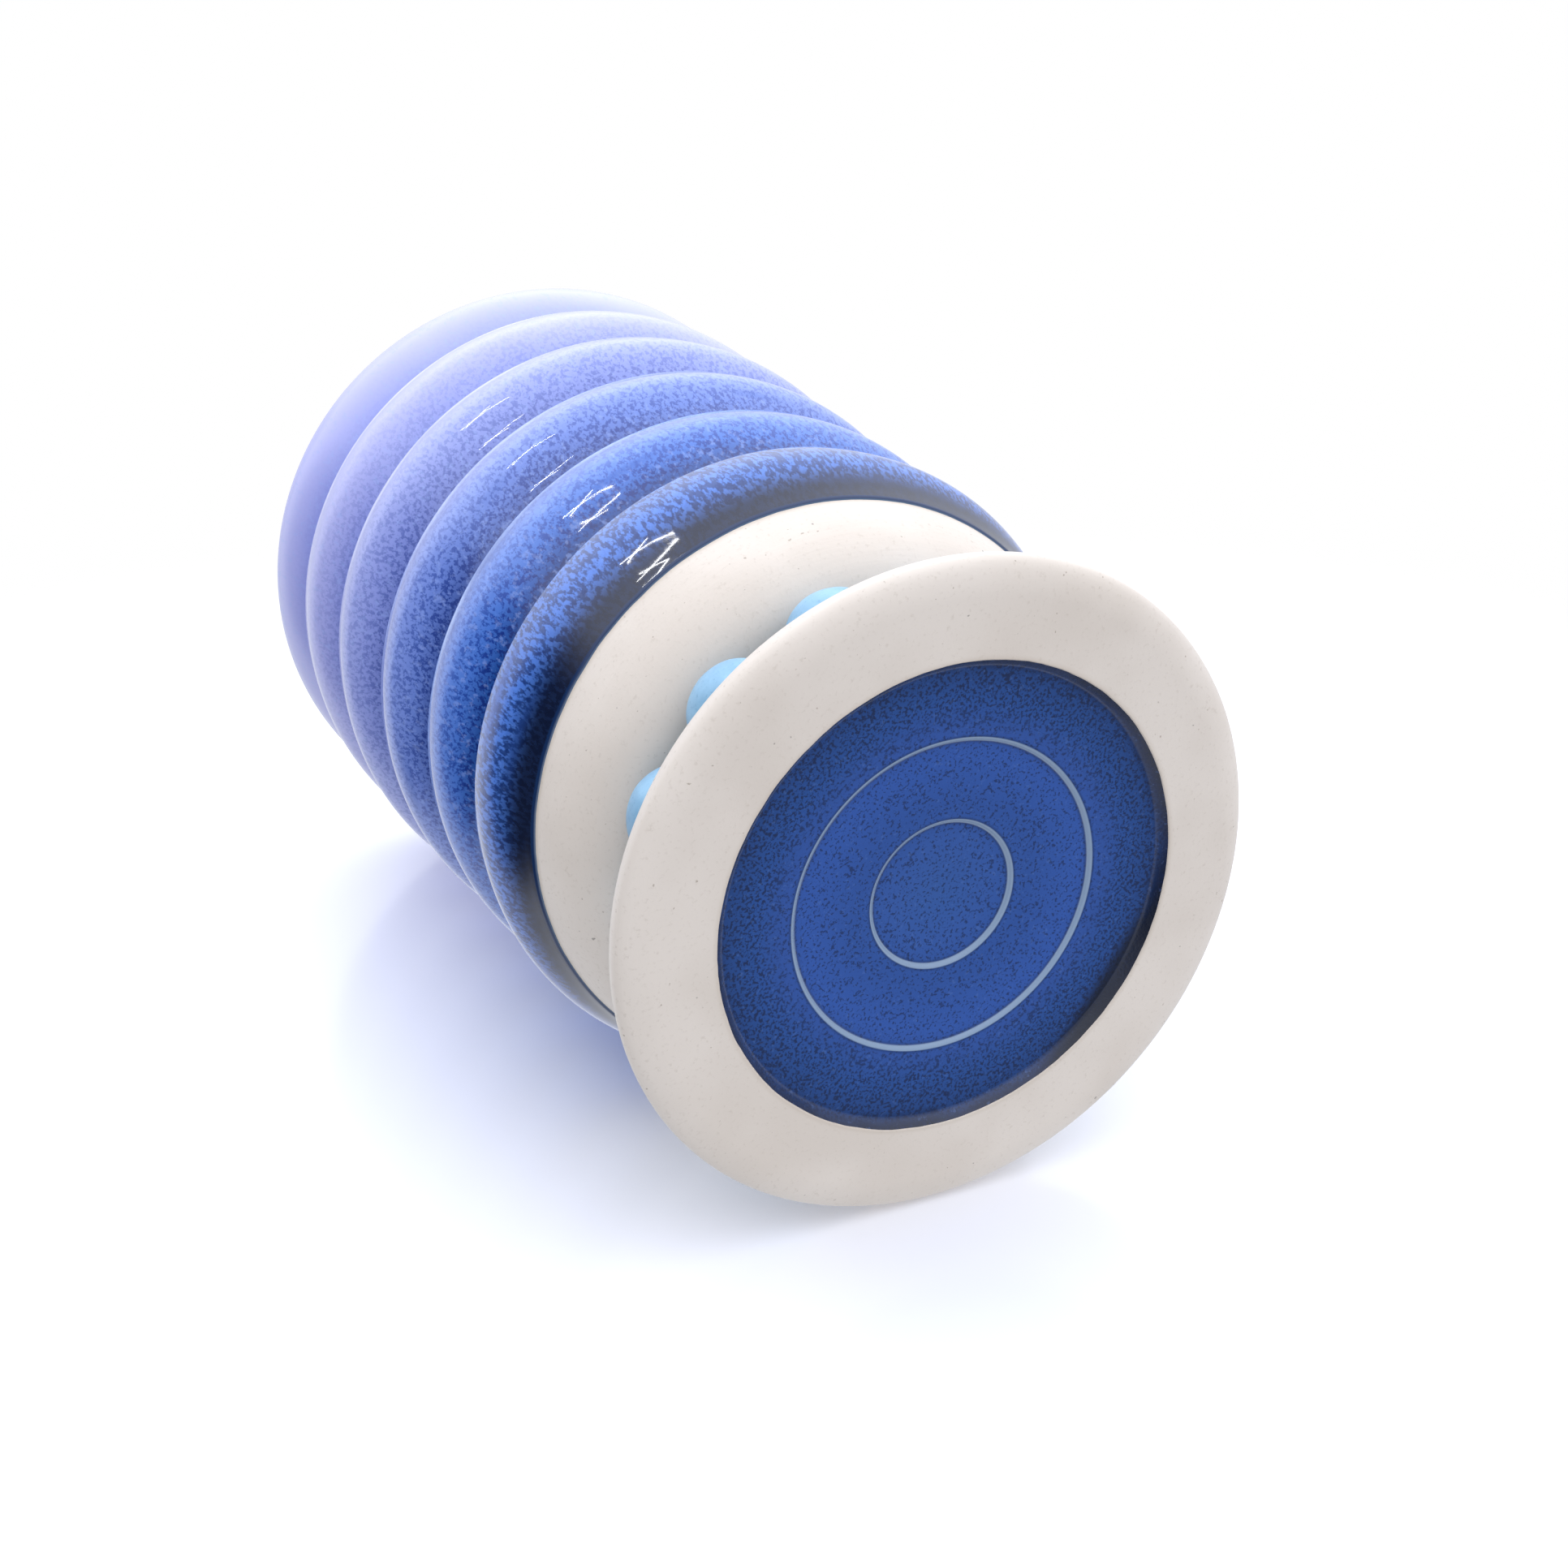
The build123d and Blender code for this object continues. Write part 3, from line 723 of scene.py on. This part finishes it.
@dataclass(frozen=True)
class WaxedCotton:
    """Waxed cotton cord, three plies laid together: matt, with fine fibres along each ply."""

    def make(self) -> bpy.types.Material:
        """Builds the material."""
        s = Surface("waxed_cotton")
        fibres = s.noise(0.22, 3, 0.7)
        colour = s.blend(s.share(fibres, 0.36, 0.68), linear("d6cfbf"), linear("a79c88"))
        roughness = s.sums("MULTIPLY_ADD", fibres, 0.2, 0.62)
        return s.dress(colour, roughness, [(fibres, 0.06)], IOR=1.45, Sheen_Weight=0.3)


# ---- Sub-assemblies --------------------------------------------------------------------


@dataclass
class CrockPot:
    """The pot: disc foot, ball track round the neck, bare shoulder, ridged wall and rim, in millimetres."""

    recess_radius: float = 31.0
    recess_edge_depth: float = 1.4
    recess_edge_width: float = 1.1
    rings: tuple[float, float] = (20.2, 9.4)
    ring_step: float = 0.5
    ring_step_width: float = 0.45
    recess_fall: float = 0.45
    foot_radius: float = 42.9
    foot_thickness: float = 8.1
    foot_widest_z: float = 2.2
    foot_round: float = 4.4
    foot_top_round: float = 6.5
    floor_thickness: float = 6.4
    track_middle_radius: float = 30.7
    track_radius: float = 7.4
    neck_wall: float = 5.5
    glaze_line_z: float = 35.2
    glaze_line_radius: float = 40.4
    glaze_roll: float = 0.5
    first_lip_z: float = 50.2
    pitch: float = 19.55
    full_ridges: int = 5
    low_lip_radius: float = 43.8
    top_lip_radius: float = 47.8
    ridge_crown: float = 0.3
    belly_drop: float = 5.6
    groove_depth: float = 3.1
    ledge_rise: float = 1.7
    cove_rise: float = 6.2
    cove_depth: float = 2.1
    lip_round: float = 0.7
    wall: float = 5.2
    height: float = 149.0
    rim_crown: float = 0.7
    rim_width: float = 5.0
    rim_round: float = 4.5
    rim_inner_round: float = 2.0
    gallery_depth: float = 7.8
    gallery_ledge: float = 3.0
    bare_band: float = 1.6
    recess_lip: Point = (0.12, 0.15)
    softness: float = 0.28

    def lip_radius(self, z: float) -> float:
        """Gives the radius of the pot at a lip, where it opens out from the lowest to the highest."""
        share = (z - self.first_lip_z) / (self.pitch * (self.full_ridges - 1))
        return self.low_lip_radius + (self.top_lip_radius - self.low_lip_radius) * share**2 * (3 - 2 * share)

    def outline(self) -> Outline:
        """Draws the half section, from the middle of the recess round to the middle of the inside."""
        clay, recess = Zone.CLAY, Zone.RECESS
        falls = len(self.rings) + 1
        deepest = self.recess_edge_depth + self.recess_fall * falls + self.ring_step * len(self.rings)
        o = Outline((0.0, deepest))
        z = deepest
        for ring in reversed(self.rings):
            z -= self.recess_fall
            o.line((ring, z), 6, recess)
            z -= self.ring_step
            o.line((ring + self.ring_step_width, z), 1, recess)
        bottom = self.recess_radius - self.recess_edge_width
        o.line((bottom, self.recess_edge_depth), 6, recess)
        o.line((self.recess_radius - self.recess_lip[0], self.recess_lip[1]), 1, recess)
        o.glaze_edge((0.22, 0.0))
        o.line((self.recess_radius, 0.0), 1, clay)
        o.line((self.foot_radius - self.foot_round, 0.0), 5, clay)
        o.spline([(self.foot_radius, self.foot_widest_z)], (1, 0), (0, 1), 14, clay)
        top_start = (self.foot_radius - self.foot_top_round, self.foot_thickness)
        o.spline([top_start], (0, 1), (-1, 0), 14, clay)
        o.line((self.track_middle_radius, self.foot_thickness), 4, clay)
        middle = (self.track_middle_radius, self.foot_thickness + self.track_radius)
        o.arc(middle, -180, 24, clay)
        self._shoulder(o, middle)
        self._ridges(o)
        self._inside(o, middle, deepest + self.floor_thickness)
        return o.softened(self.softness)

    def _shoulder(self, o: Outline, middle: Point) -> None:
        """Adds the bare shoulder and the rounded end of the glaze."""
        top = middle[1] + self.track_radius
        end = (self.glaze_line_radius, self.glaze_line_z)
        mid = (middle[0] + 0.66 * (end[0] - middle[0]), top + 0.32 * (end[1] - top))
        o.spline([mid, end], (1, 0), (0.25, 1), 20, Zone.CLAY)
        o.glaze_edge((0.08, 0.32))
        roll = (end[0] + self.glaze_roll, end[1] + self.glaze_roll)
        o.spline([roll], (1, 0.1), (0.35, 1), 5, Zone.RIDGES)

    def _ridges(self, o: Outline) -> None:
        """Adds every ridge and groove, and the rim."""
        below, leave = [], (0.35, 1)
        for i in range(self.full_ridges):
            z = self.first_lip_z + self.pitch * i
            r = self.lip_radius(z)
            belly = (r + self.ridge_crown, z - self.belly_drop)
            o.spline([*below, belly, (r, z - self.lip_round)], leave, (-0.12, 1), 19, Zone.RIDGES)
            o.arc((r - self.lip_round, z - self.lip_round), 90, 5, Zone.RIDGES)
            o.spline([(r - self.groove_depth, z + self.ledge_rise)], (-1, 0.1), (0.02, 1), 7, Zone.RIDGES)
            below, leave = [(r - self.cove_depth, z + self.cove_rise)], (0.02, 1)
        widest = (self.top_lip_radius + self.rim_crown, self.height - self.rim_round)
        gallery = widest[0] - self.rim_width
        crest = (gallery + self.rim_inner_round, self.height)
        o.spline([*below, widest], leave, (0, 1), 22, Zone.RIDGES)
        o.spline([crest], (0, 1), (-1, 0), 10, Zone.RIDGES)
        o.spline([(gallery, self.height - self.rim_inner_round)], (-1, 0), (0, -1), 8, Zone.RIDGES)

    def _inside(self, o: Outline, middle: Point, floor_z: float) -> None:
        """Adds the gallery with its bare seat, the wall and the well inside the neck."""
        gallery = self.top_lip_radius + self.rim_crown - self.rim_width
        ledge_z = self.height - self.gallery_depth
        ledge = gallery - self.gallery_ledge
        bare = self.bare_band
        o.line((gallery, ledge_z + bare), 3, Zone.RIDGES)
        o.glaze_edge((0.0, 0.2))
        o.line((gallery, ledge_z), 2, Zone.CLAY)
        o.line((ledge, ledge_z), 3, Zone.CLAY)
        low = (self.low_lip_radius - self.groove_depth - self.wall, self.first_lip_z)
        down = (low[0] - ledge, low[1] - ledge_z)
        edge = (ledge + down[0] * bare / -down[1], ledge_z - bare)
        o.line(edge, 2, Zone.CLAY)
        o.glaze_edge((0.0, 0.2))
        o.line(low, 20, Zone.LINER)
        reach = self.track_radius + self.neck_wall
        o.spline([(middle[0], middle[1] + reach)], (-0.03, -1), (-1, -0.05), 12, Zone.LINER)
        o.arc(middle, 90, 11, Zone.LINER)
        well = middle[0] - reach
        o.spline([(well - (middle[1] - floor_z), floor_z)], (0, -1), (-1, 0), 8, Zone.LINER)
        o.line((0.0, floor_z), 5, Zone.LINER)

    def build(self, wheel: Wheel, finishes: dict[Zone, bpy.types.Material]) -> bpy.types.Object:
        """Makes the pot and stands it for its CAD node.

        Args:
            wheel: what turns it.
            finishes: material of each zone.

        Returns:
            The finished piece.
        """
        pot = wheel.turn(self.outline(), "glazed_crock", finishes, seed=3.0)
        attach(pot, "crock")
        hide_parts("crock")
        return pot


@dataclass
class DropInLid:
    """The lid: plate, knob above and butter bell below, in millimetres."""

    radius: float = 43.1
    bottom_z: float = 141.5
    thickness: float = 5.2
    edge_round: float = 1.2
    flat_width: float = 4.0
    dish: float = 1.2
    knob_radius: float = 13.5
    knob_height: float = 15.0
    knob_disc: float = 5.0
    knob_neck: float = 7.0
    knob_flare: float = 16.8
    bell_radius: float = 32.6
    bell_wall: float = 4.4
    bell_depth: float = 68.0
    bell_roof_round: float = 7.0
    bell_roof_sink: float = 0.5
    bell_fillet: float = 2.5
    bare_edge: float = 2.2
    bare_ring: float = 1.4
    softness: float = 0.3

    def outline(self) -> Outline:
        """Draws the half section, from the middle of the knob round to the middle of the bell's roof."""
        top = self.bottom_z + self.thickness
        dish_z = top - self.dish
        knob_top = top + self.knob_height
        half = self.knob_disc / 2
        disc = self.knob_radius - half
        under = knob_top - self.knob_disc
        o = Outline((0.0, knob_top - self.dish))
        o.spline([(disc, knob_top)], (1, 0), (1, 0.1), 8, Zone.RIDGES)
        o.arc((disc, knob_top - half), -180, 16, Zone.RIDGES)
        neck = (self.knob_neck, (under + dish_z) / 2)
        o.spline([neck, (self.knob_flare, dish_z)], (-1, -0.1), (1, -0.05), 22, Zone.RIDGES)
        o.spline([(self.radius - self.flat_width, top)], (1, -0.05), (1, 0), 12, Zone.RIDGES)
        o.line((self.radius - self.edge_round, top), 2, Zone.RIDGES)
        o.spline([(self.radius, top - self.edge_round)], (1, 0), (0, -1), 6, Zone.RIDGES)
        o.line((self.radius, self.bottom_z + self.bare_edge), 2, Zone.RIDGES)
        o.glaze_edge((0.0, 0.25))
        o.line((self.radius, self.bottom_z), 3, Zone.CLAY)
        o.line((self.bell_radius + self.bell_fillet + self.bare_ring, self.bottom_z), 4, Zone.CLAY)
        o.glaze_edge((0.25, 0.0))
        o.line((self.bell_radius + self.bell_fillet, self.bottom_z), 2, Zone.LINER)
        o.spline([(self.bell_radius, self.bottom_z - self.bell_fillet)], (-1, 0), (0, -1), 8, Zone.LINER)
        mouth = self.bottom_z - self.bell_depth + self.bell_wall / 2
        o.line((self.bell_radius, mouth), 26, Zone.LINER)
        o.arc((self.bell_radius - self.bell_wall / 2, mouth), -180, 12, Zone.LINER)
        inner = self.bell_radius - self.bell_wall
        roof = self.bottom_z - self.bell_roof_sink
        o.line((inner, roof - self.bell_roof_round), 22, Zone.LINER)
        o.spline([(inner - self.bell_roof_round, roof)], (0, 1), (-1, 0), 10, Zone.LINER)
        o.line((0.0, roof), 5, Zone.LINER)
        return o.softened(self.softness)

    def build(self, wheel: Wheel, finishes: dict[Zone, bpy.types.Material]) -> bpy.types.Object:
        """Makes the lid and stands it for its CAD node."""
        lid = wheel.turn(self.outline(), "glazed_lid_and_bell", finishes, seed=11.0)
        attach(lid, "lid")
        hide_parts("lid")
        return lid


@dataclass
class BeadString:
    """Thirteen clay beads on a knotted cord, lying in the ball track, in millimetres and degrees."""

    count: int = 13
    radius: float = 6.5
    bore: float = 1.8
    ring_radius: float = 30.7
    height: float = 15.5
    pitch: float = 27.2
    knot_angle: float = 272.0
    cord_radius: float = 0.8
    knot_radius: float = 1.5
    tail: float = 3.4
    tail_lean: float = 35.0
    lump: float = 1.5
    lump_size: float = 7.0
    softness: float = 0.45
    segments: int = 56
    lay_turns: int = 48
    steps_per_turn: int = 12
    ply_share: float = 0.53
    knot_share: float = 0.56
    knot_points: int = 36
    tail_sway: float = 0.0004

    def bead_outline(self) -> Outline:
        """Draws half a bead about its hole, from the middle of the hole round to itself."""
        half = math.sqrt(self.radius**2 - self.bore**2)
        sweep = 2 * math.degrees(math.atan2(half, self.bore))
        o = Outline((self.bore, 0.0))
        o.line((self.bore, -half), 3, Zone.CLAY)
        o.arc((0.0, 0.0), sweep, 34, Zone.CLAY)
        o.line((self.bore, 0.0), 3, Zone.CLAY)
        return o.softened(self.softness)

    def cord_ring(self) -> float:
        """Gives the radius of the cord's ring, which runs through the middle of each hole."""
        half = math.sqrt(self.radius**2 - self.bore**2)
        return self.ring_radius + half**2 / (4 * self.ring_radius)

    def build_beads(self, wheel: Wheel, slip: bpy.types.Material) -> None:
        """Makes every bead and stands each for its own CAD node.

        Args:
            wheel: what turns them.
            slip: their finish.
        """
        first = self.knot_angle + (360 - self.pitch * (self.count - 1)) / 2
        for i in range(self.count):
            name = f"bead_{i + 1:02d}"
            bead = wheel.turn(
                self.bead_outline(), f"clay_{name}", {Zone.CLAY: slip}, seed=20.0 + 3.7 * i,
                segments=self.segments, wander=self.lump, size=self.lump_size,
            )
            angle = math.radians(first + self.pitch * i)
            spot = Vector((math.cos(angle), math.sin(angle), 0)) * self.ring_radius * MM
            spot.z = self.height * MM
            tip = Matrix.Rotation(math.radians(-90), 4, "X")
            bead.data.transform(Matrix.Translation(spot) @ Matrix.Rotation(angle, 4, "Z") @ tip)
            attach(bead, name)
            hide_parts(name)

    def laid_cord_tree(self) -> tuple[bpy.types.NodeTree, dict[str, str]]:
        """Builds the tree that lays three plies round a ring.

        Returns:
            The tree, and each input's identifier by name.
        """
        t = bpy.data.node_groups.new("three_ply_cord", "GeometryNodeTree")
        t.interface.new_socket("Base", in_out="INPUT", socket_type="NodeSocketGeometry")
        kinds = dict.fromkeys(("Ring Radius", "Height", "Cord Radius", "Turns"), "Float")
        kinds["Finish"] = "Material"
        keys = {}
        for name, kind in kinds.items():
            item = t.interface.new_socket(name, in_out="INPUT", socket_type=f"NodeSocket{kind}")
            keys[name] = item.identifier
        t.interface.new_socket("Cord", in_out="OUTPUT", socket_type="NodeSocketGeometry")
        given = add(t, "NodeGroupInput").outputs
        steps = self.steps_per_turn * self.lay_turns
        ply = add(t, "ShaderNodeMath", {0: given["Cord Radius"], 1: self.ply_share}, operation="MULTIPLY")
        offset = add(t, "ShaderNodeMath", {0: given["Cord Radius"], 1: ply}, operation="SUBTRACT")
        section = add(t, "GeometryNodeCurvePrimitiveCircle", {"Resolution": 7, "Radius": ply})
        index = add(t, "GeometryNodeInputIndex")
        angle = add(t, "ShaderNodeMath", {0: index, 1: 2 * math.pi / steps}, operation="MULTIPLY")
        join = add(t, "GeometryNodeJoinGeometry")
        for start in range(3):
            turns = {0: angle, 1: given["Turns"], 2: start * 2 * math.pi / 3}
            twist = add(t, "ShaderNodeMath", turns, operation="MULTIPLY_ADD")
            spot = {}
            for axis, wave, middle in (("X", "COSINE", "Ring Radius"), ("Z", "SINE", "Height")):
                swing = add(t, "ShaderNodeMath", {0: twist}, operation=wave)
                sides = {0: swing, 1: offset, 2: given[middle]}
                spot[axis] = add(t, "ShaderNodeMath", sides, operation="MULTIPLY_ADD")
            flat = add(t, "ShaderNodeCombineXYZ", spot)
            sweep = {"Vector": flat, "Angle": angle}
            round_axis = add(t, "ShaderNodeVectorRotate", sweep, rotation_type="Z_AXIS")
            ring = add(t, "GeometryNodeCurvePrimitiveCircle", {"Resolution": steps, "Radius": 1.0})
            path = add(t, "GeometryNodeSetPosition", {"Geometry": ring, "Position": round_axis})
            feed(t, join, {0: add(t, "GeometryNodeCurveToMesh", {0: path, 1: section})})
        smooth = add(t, "GeometryNodeSetShadeSmooth", {"Geometry": join})
        whole = add(t, "GeometryNodeRealizeInstances", {"Geometry": smooth})
        done = add(t, "GeometryNodeSetMaterial", {"Geometry": whole, "Material": given["Finish"]})
        add(t, "NodeGroupOutput", {0: done})
        return t, keys

    def build_cord(self, cotton: bpy.types.Material) -> bpy.types.Object:
        """Makes the ring of cord with its knot and stands it for its CAD node."""
        cord = bpy.data.objects.new("laid_cotton_cord", bpy.data.meshes.new("cord_base"))
        bpy.context.scene.collection.objects.link(cord)
        modifier = cord.modifiers.new("plies", "NODES")
        modifier.node_group, keys = self.laid_cord_tree()
        values = {
            "Ring Radius": self.cord_ring() * MM, "Height": self.height * MM,
            "Cord Radius": self.cord_radius * MM, "Turns": float(self.lay_turns), "Finish": cotton,
        }
        for name, value in values.items():
            modifier[keys[name]] = value
        as_plain_mesh(cord)
        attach(cord, "bead_string")
        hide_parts("bead_cord")
        return cord

    def build_knot(self, cotton: bpy.types.Material) -> bpy.types.Object:
        """Makes the overhand knot with its two cut ends."""
        shape = bpy.data.curves.new("knot_path", "CURVE")
        shape.dimensions = "3D"
        shape.bevel_depth = self.cord_radius * self.knot_share * MM
        shape.bevel_resolution = 3
        shape.use_fill_caps = True
        size = (self.knot_radius - self.cord_radius * self.knot_share) / 3 * MM
        loop = []
        for i in range(self.knot_points):
            a = 2 * math.pi * i / self.knot_points
            loop.append((
                size * (math.sin(a) + 2 * math.sin(2 * a)),
                size * (math.cos(a) - 2 * math.cos(2 * a)),
                -size * math.sin(3 * a),
            ))
        tails = []
        for lean in (-self.tail_lean, self.tail_lean):
            a = math.radians(lean)
            reach = [(self.tail - 0.3) * MM * step / 4 for step in range(5)]
            sway = [self.tail_sway * math.sin(d / MM * 1.1) for d in reach]
            tails.append([(d * math.cos(a), aside, d * math.sin(a)) for d, aside in zip(reach, sway)])
        for points, closed in ((loop, True), (tails[0], False), (tails[1], False)):
            spline = shape.splines.new("POLY")
            spline.points.add(len(points) - 1)
            for point, spot in zip(spline.points, points):
                point.co = (*spot, 1)
            spline.use_cyclic_u = closed
            spline.use_smooth = True
        shape.materials.append(cotton)
        knot = bpy.data.objects.new("cord_knot", shape)
        bpy.context.scene.collection.objects.link(knot)
        graph = bpy.context.evaluated_depsgraph_get()
        mesh = bpy.data.meshes.new_from_object(knot.evaluated_get(graph), depsgraph=graph)
        bpy.data.objects.remove(knot)
        angle = math.radians(self.knot_angle)
        ring = self.cord_ring()
        spot = Vector((math.cos(angle) * ring, math.sin(angle) * ring, self.height)) * MM
        mesh.transform(Matrix.Translation(spot) @ Matrix.Rotation(angle, 4, "Z"))
        knot = bpy.data.objects.new("cord_knot", mesh)
        bpy.context.scene.collection.objects.link(knot)
        LOG.info("cord_knot: %d faces", len(mesh.polygons))
        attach(knot, "bead_string")
        return knot


# ---- Studio ------------------------------------------------------------------------------


@dataclass
class Studio:
    """White table, soft light from above, and a camera low in front of the foot.

    The crock lies on its side for the camera, so the table is a plane along its rim and foot.
    """

    lens: float = 45.65
    camera_place: Point3 = (0.0, 0.1552, -0.1809)
    camera_right: Point3 = (-0.6453, -0.6317, -0.4297)
    camera_up: Point3 = (-0.7639, 0.5270, 0.3725)
    table_side: float = 135.4
    foot_touch: Point = (42.9, 2.2)
    rim_touch: Point = (48.5, 144.5)
    table_fade: Point = (0.13, 0.30)
    floor_fade: Point = (0.22, 0.55)
    floor_lift: float = 0.16
    strip_width: float = 0.005
    strip_distance: float = 1.2
    strips: tuple = (("long_strip", -0.46, -6.0, 0.34), ("short_strip", -0.5, 24.0, 0.2))
    room_light: float = 1.0
    room: tuple = (
        ((-0.1, 0.95, 0.12), 0.15, 0.97, 2.25),
        ((-0.87, -0.22, 0.26), 0.66, 0.9, 0.08),
        ((0.73, -0.62, 0.29), 0.8, 0.96, 0.36),
    )

    def lie(self, right: float, up: float, back: float) -> Vector:
        """Turns a direction given from the camera into the crock's own frame."""
        x, y = Vector(self.camera_right), Vector(self.camera_up)
        return (x * right + y * up + x.cross(y) * back).normalized()

    def camera(self) -> None:
        """Places the camera."""
        data = bpy.data.cameras.new("camera")
        data.lens = self.lens
        data.sensor_width = 36.0
        data.clip_start, data.clip_end = 0.01, 20.0
        camera = bpy.data.objects.new("camera", data)
        x, y = Vector(self.camera_right).normalized(), Vector(self.camera_up)
        y = (y - x * x.dot(y)).normalized()
        turn = Matrix((x, y, x.cross(y))).transposed().to_4x4()
        camera.matrix_world = Matrix.Translation(Vector(self.camera_place)) @ turn
        bpy.context.scene.collection.objects.link(camera)
        bpy.context.scene.camera = camera

    def table_normal(self) -> Vector:
        """Gives the way up from the table that the crock lies on."""
        side = math.radians(self.table_side)
        out = Vector((math.cos(side), math.sin(side), 0))
        slope = math.atan2(self.rim_touch[0] - self.foot_touch[0], self.rim_touch[1] - self.foot_touch[1])
        return out * math.cos(slope) + Vector((0, 0, math.sin(slope)))

    def table(self, name: str, normal: Vector, touch: Vector, middle: Vector,
              clear: float, fade: float, lift: float = 0.0) -> None:
        """Lays a pale plane that is seen from above only and fades out away from the crock.

        Args:
            name: name of the plane.
            normal: way up from the plane.
            touch: a point of the plane, in metres.
            middle: centre of the part that shows.
            clear: radius that shows fully.
            fade: radius where it has gone.
            lift: light added, so that it is white away from the shadow.
        """
        along = normal.orthogonal().normalized()
        across = normal.cross(along)
        centre = middle - normal * (middle - touch).dot(normal)
        signs = ((-1, -1), (1, -1), (1, 1), (-1, 1))
        corners = [centre + (along * a + across * b) * fade * 1.1 for a, b in signs]
        mesh = bpy.data.meshes.new(name)
        mesh.from_pydata([tuple(c) for c in corners], [], [(0, 1, 2, 3)])
        plane = bpy.data.objects.new(name, mesh)
        bpy.context.scene.collection.objects.link(plane)
        s = Surface(f"{name}_white")
        feed(s.tree, s.shader, {
            "Base Color": linear("f4f5fa"), "Roughness": 0.16, "Specular IOR Level": 0.35,
            "Emission Color": linear("ffffff"), "Emission Strength": lift,
        })
        off = add(s.tree, "ShaderNodeVectorMath", {0: s.place, 1: tuple(centre)}, operation="DISTANCE")
        gone = s.share(off.outputs["Value"], clear, fade)
        hidden = s.sums("MAXIMUM", gone, add(s.tree, "ShaderNodeNewGeometry").outputs["Backfacing"])
        see_through = add(s.tree, "ShaderNodeBsdfTransparent")
        mixed = add(s.tree, "ShaderNodeMixShader", {0: hidden, 1: s.shader, 2: see_through})
        feed(s.tree, s.output, {0: mixed})
        mesh.materials.append(s.material)
        for kind in ("diffuse", "glossy", "transmission", "volume_scatter", "shadow"):
            setattr(plane, f"visible_{kind}", False)

    def strip(self, name: str, toward: Vector, length: float, roll: float) -> None:
        """Hangs a narrow light that faces the crock and shows in the glaze only.

        Args:
            name: name of the light.
            toward: direction from the crock to the light.
            length: its length in metres, and its power in watts.
            roll: degrees it is turned about its own axis.
        """
        data = bpy.data.lights.new(name, "AREA")
        data.shape = "RECTANGLE"
        data.size, data.size_y = length, self.strip_width
        data.energy = length
        light = bpy.data.objects.new(name, data)
        middle = Vector((0, 0, 0.075))
        facing = toward.to_track_quat("Z", "Y").to_matrix().to_4x4()
        turn = Matrix.Rotation(math.radians(roll), 4, "Z")
        light.matrix_world = Matrix.Translation(middle + toward * self.strip_distance) @ facing @ turn
        light.visible_camera = False
        light.visible_diffuse = False
        bpy.context.scene.collection.objects.link(light)

    def world(self) -> None:
        """Surrounds the crock with white: brightest above, and dim low on the left and below on the right."""
        world = bpy.data.worlds.new("white_studio")
        world.use_nodes = True
        t = world.node_tree
        t.nodes.clear()
        way = add(t, "ShaderNodeTexCoord").outputs["Generated"]
        light = add(t, "ShaderNodeValue").outputs[0]
        light.default_value = self.room_light
        for toward, start, full, gain in self.room:
            pair = {0: way, 1: tuple(self.lie(*toward))}
            facing = add(t, "ShaderNodeVectorMath", pair, operation="DOT_PRODUCT").outputs["Value"]
            limits = {"Value": facing, "From Min": start, "From Max": full, "To Min": 1.0, "To Max": gain}
            amount = add(t, "ShaderNodeMapRange", limits, interpolation_type="SMOOTHSTEP")
            light = add(t, "ShaderNodeMath", {0: light, 1: amount}, operation="MULTIPLY")
        room = add(t, "ShaderNodeBackground", {"Color": linear("f3f6ff"), "Strength": light})
        backdrop = add(t, "ShaderNodeBackground", {"Color": (1.0, 1.0, 1.0, 1.0), "Strength": 1.0})
        seen = add(t, "ShaderNodeLightPath").outputs["Is Camera Ray"]
        shown = add(t, "ShaderNodeMixShader", {0: seen, 1: room, 2: backdrop})
        add(t, "ShaderNodeOutputWorld", {"Surface": shown})
        bpy.context.scene.world = world

    def build(self) -> None:
        """Sets up camera, tables, lights and background."""
        scene = bpy.context.scene
        scene.view_settings.view_transform = "Standard"
        scene.view_settings.look = "None"
        self.camera()
        up = self.table_normal()
        touch = Vector((-up.x * self.foot_touch[0], -up.y * self.foot_touch[0], self.foot_touch[1])) * MM
        self.table("side_table", up, touch, Vector((0, 0, 0.06)), *self.table_fade)
        floor = Vector((0, 0, -0.0002))
        self.table("floor", Vector((0, 0, 1)), floor, Vector((0, 0, 0)), *self.floor_fade, self.floor_lift)
        self.world()
        for name, right, roll, length in self.strips:
            self.strip(name, self.lie(right, 0.815, 0.3), length, roll)
        LOG.info("studio ready")


def main() -> None:
    """Builds every sub-assembly in order."""
    logging.basicConfig(level=logging.INFO, format="%(name)s: %(message)s")
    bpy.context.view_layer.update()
    pot = CrockPot()
    clay = BareStoneware().make()
    outside = RutileBlue(pot.first_lip_z, pot.pitch, pot.glaze_line_z).make()
    inside = LinerGlaze("liner_glaze", "3f66b4", "23478f", "5579c4").make()
    lid_glaze = LinerGlaze("lid_glaze", "8493da", "5b72c2", "a9b2e8").make()
    recess = FootRecessGlaze(pot.rings, pot.recess_radius).make()
    Studio().build()
    wheel = Wheel()
    pot.build(wheel, {Zone.CLAY: clay, Zone.RIDGES: outside, Zone.RECESS: recess, Zone.LINER: inside})
    DropInLid().build(wheel, {Zone.CLAY: clay, Zone.RIDGES: lid_glaze, Zone.LINER: inside})
    string = BeadString()
    string.build_beads(wheel, BeadSlip().make())
    cotton = WaxedCotton().make()
    string.build_cord(cotton)
    string.build_knot(cotton)
    LOG.info("size written")


if __name__ == "__main__":
    main()
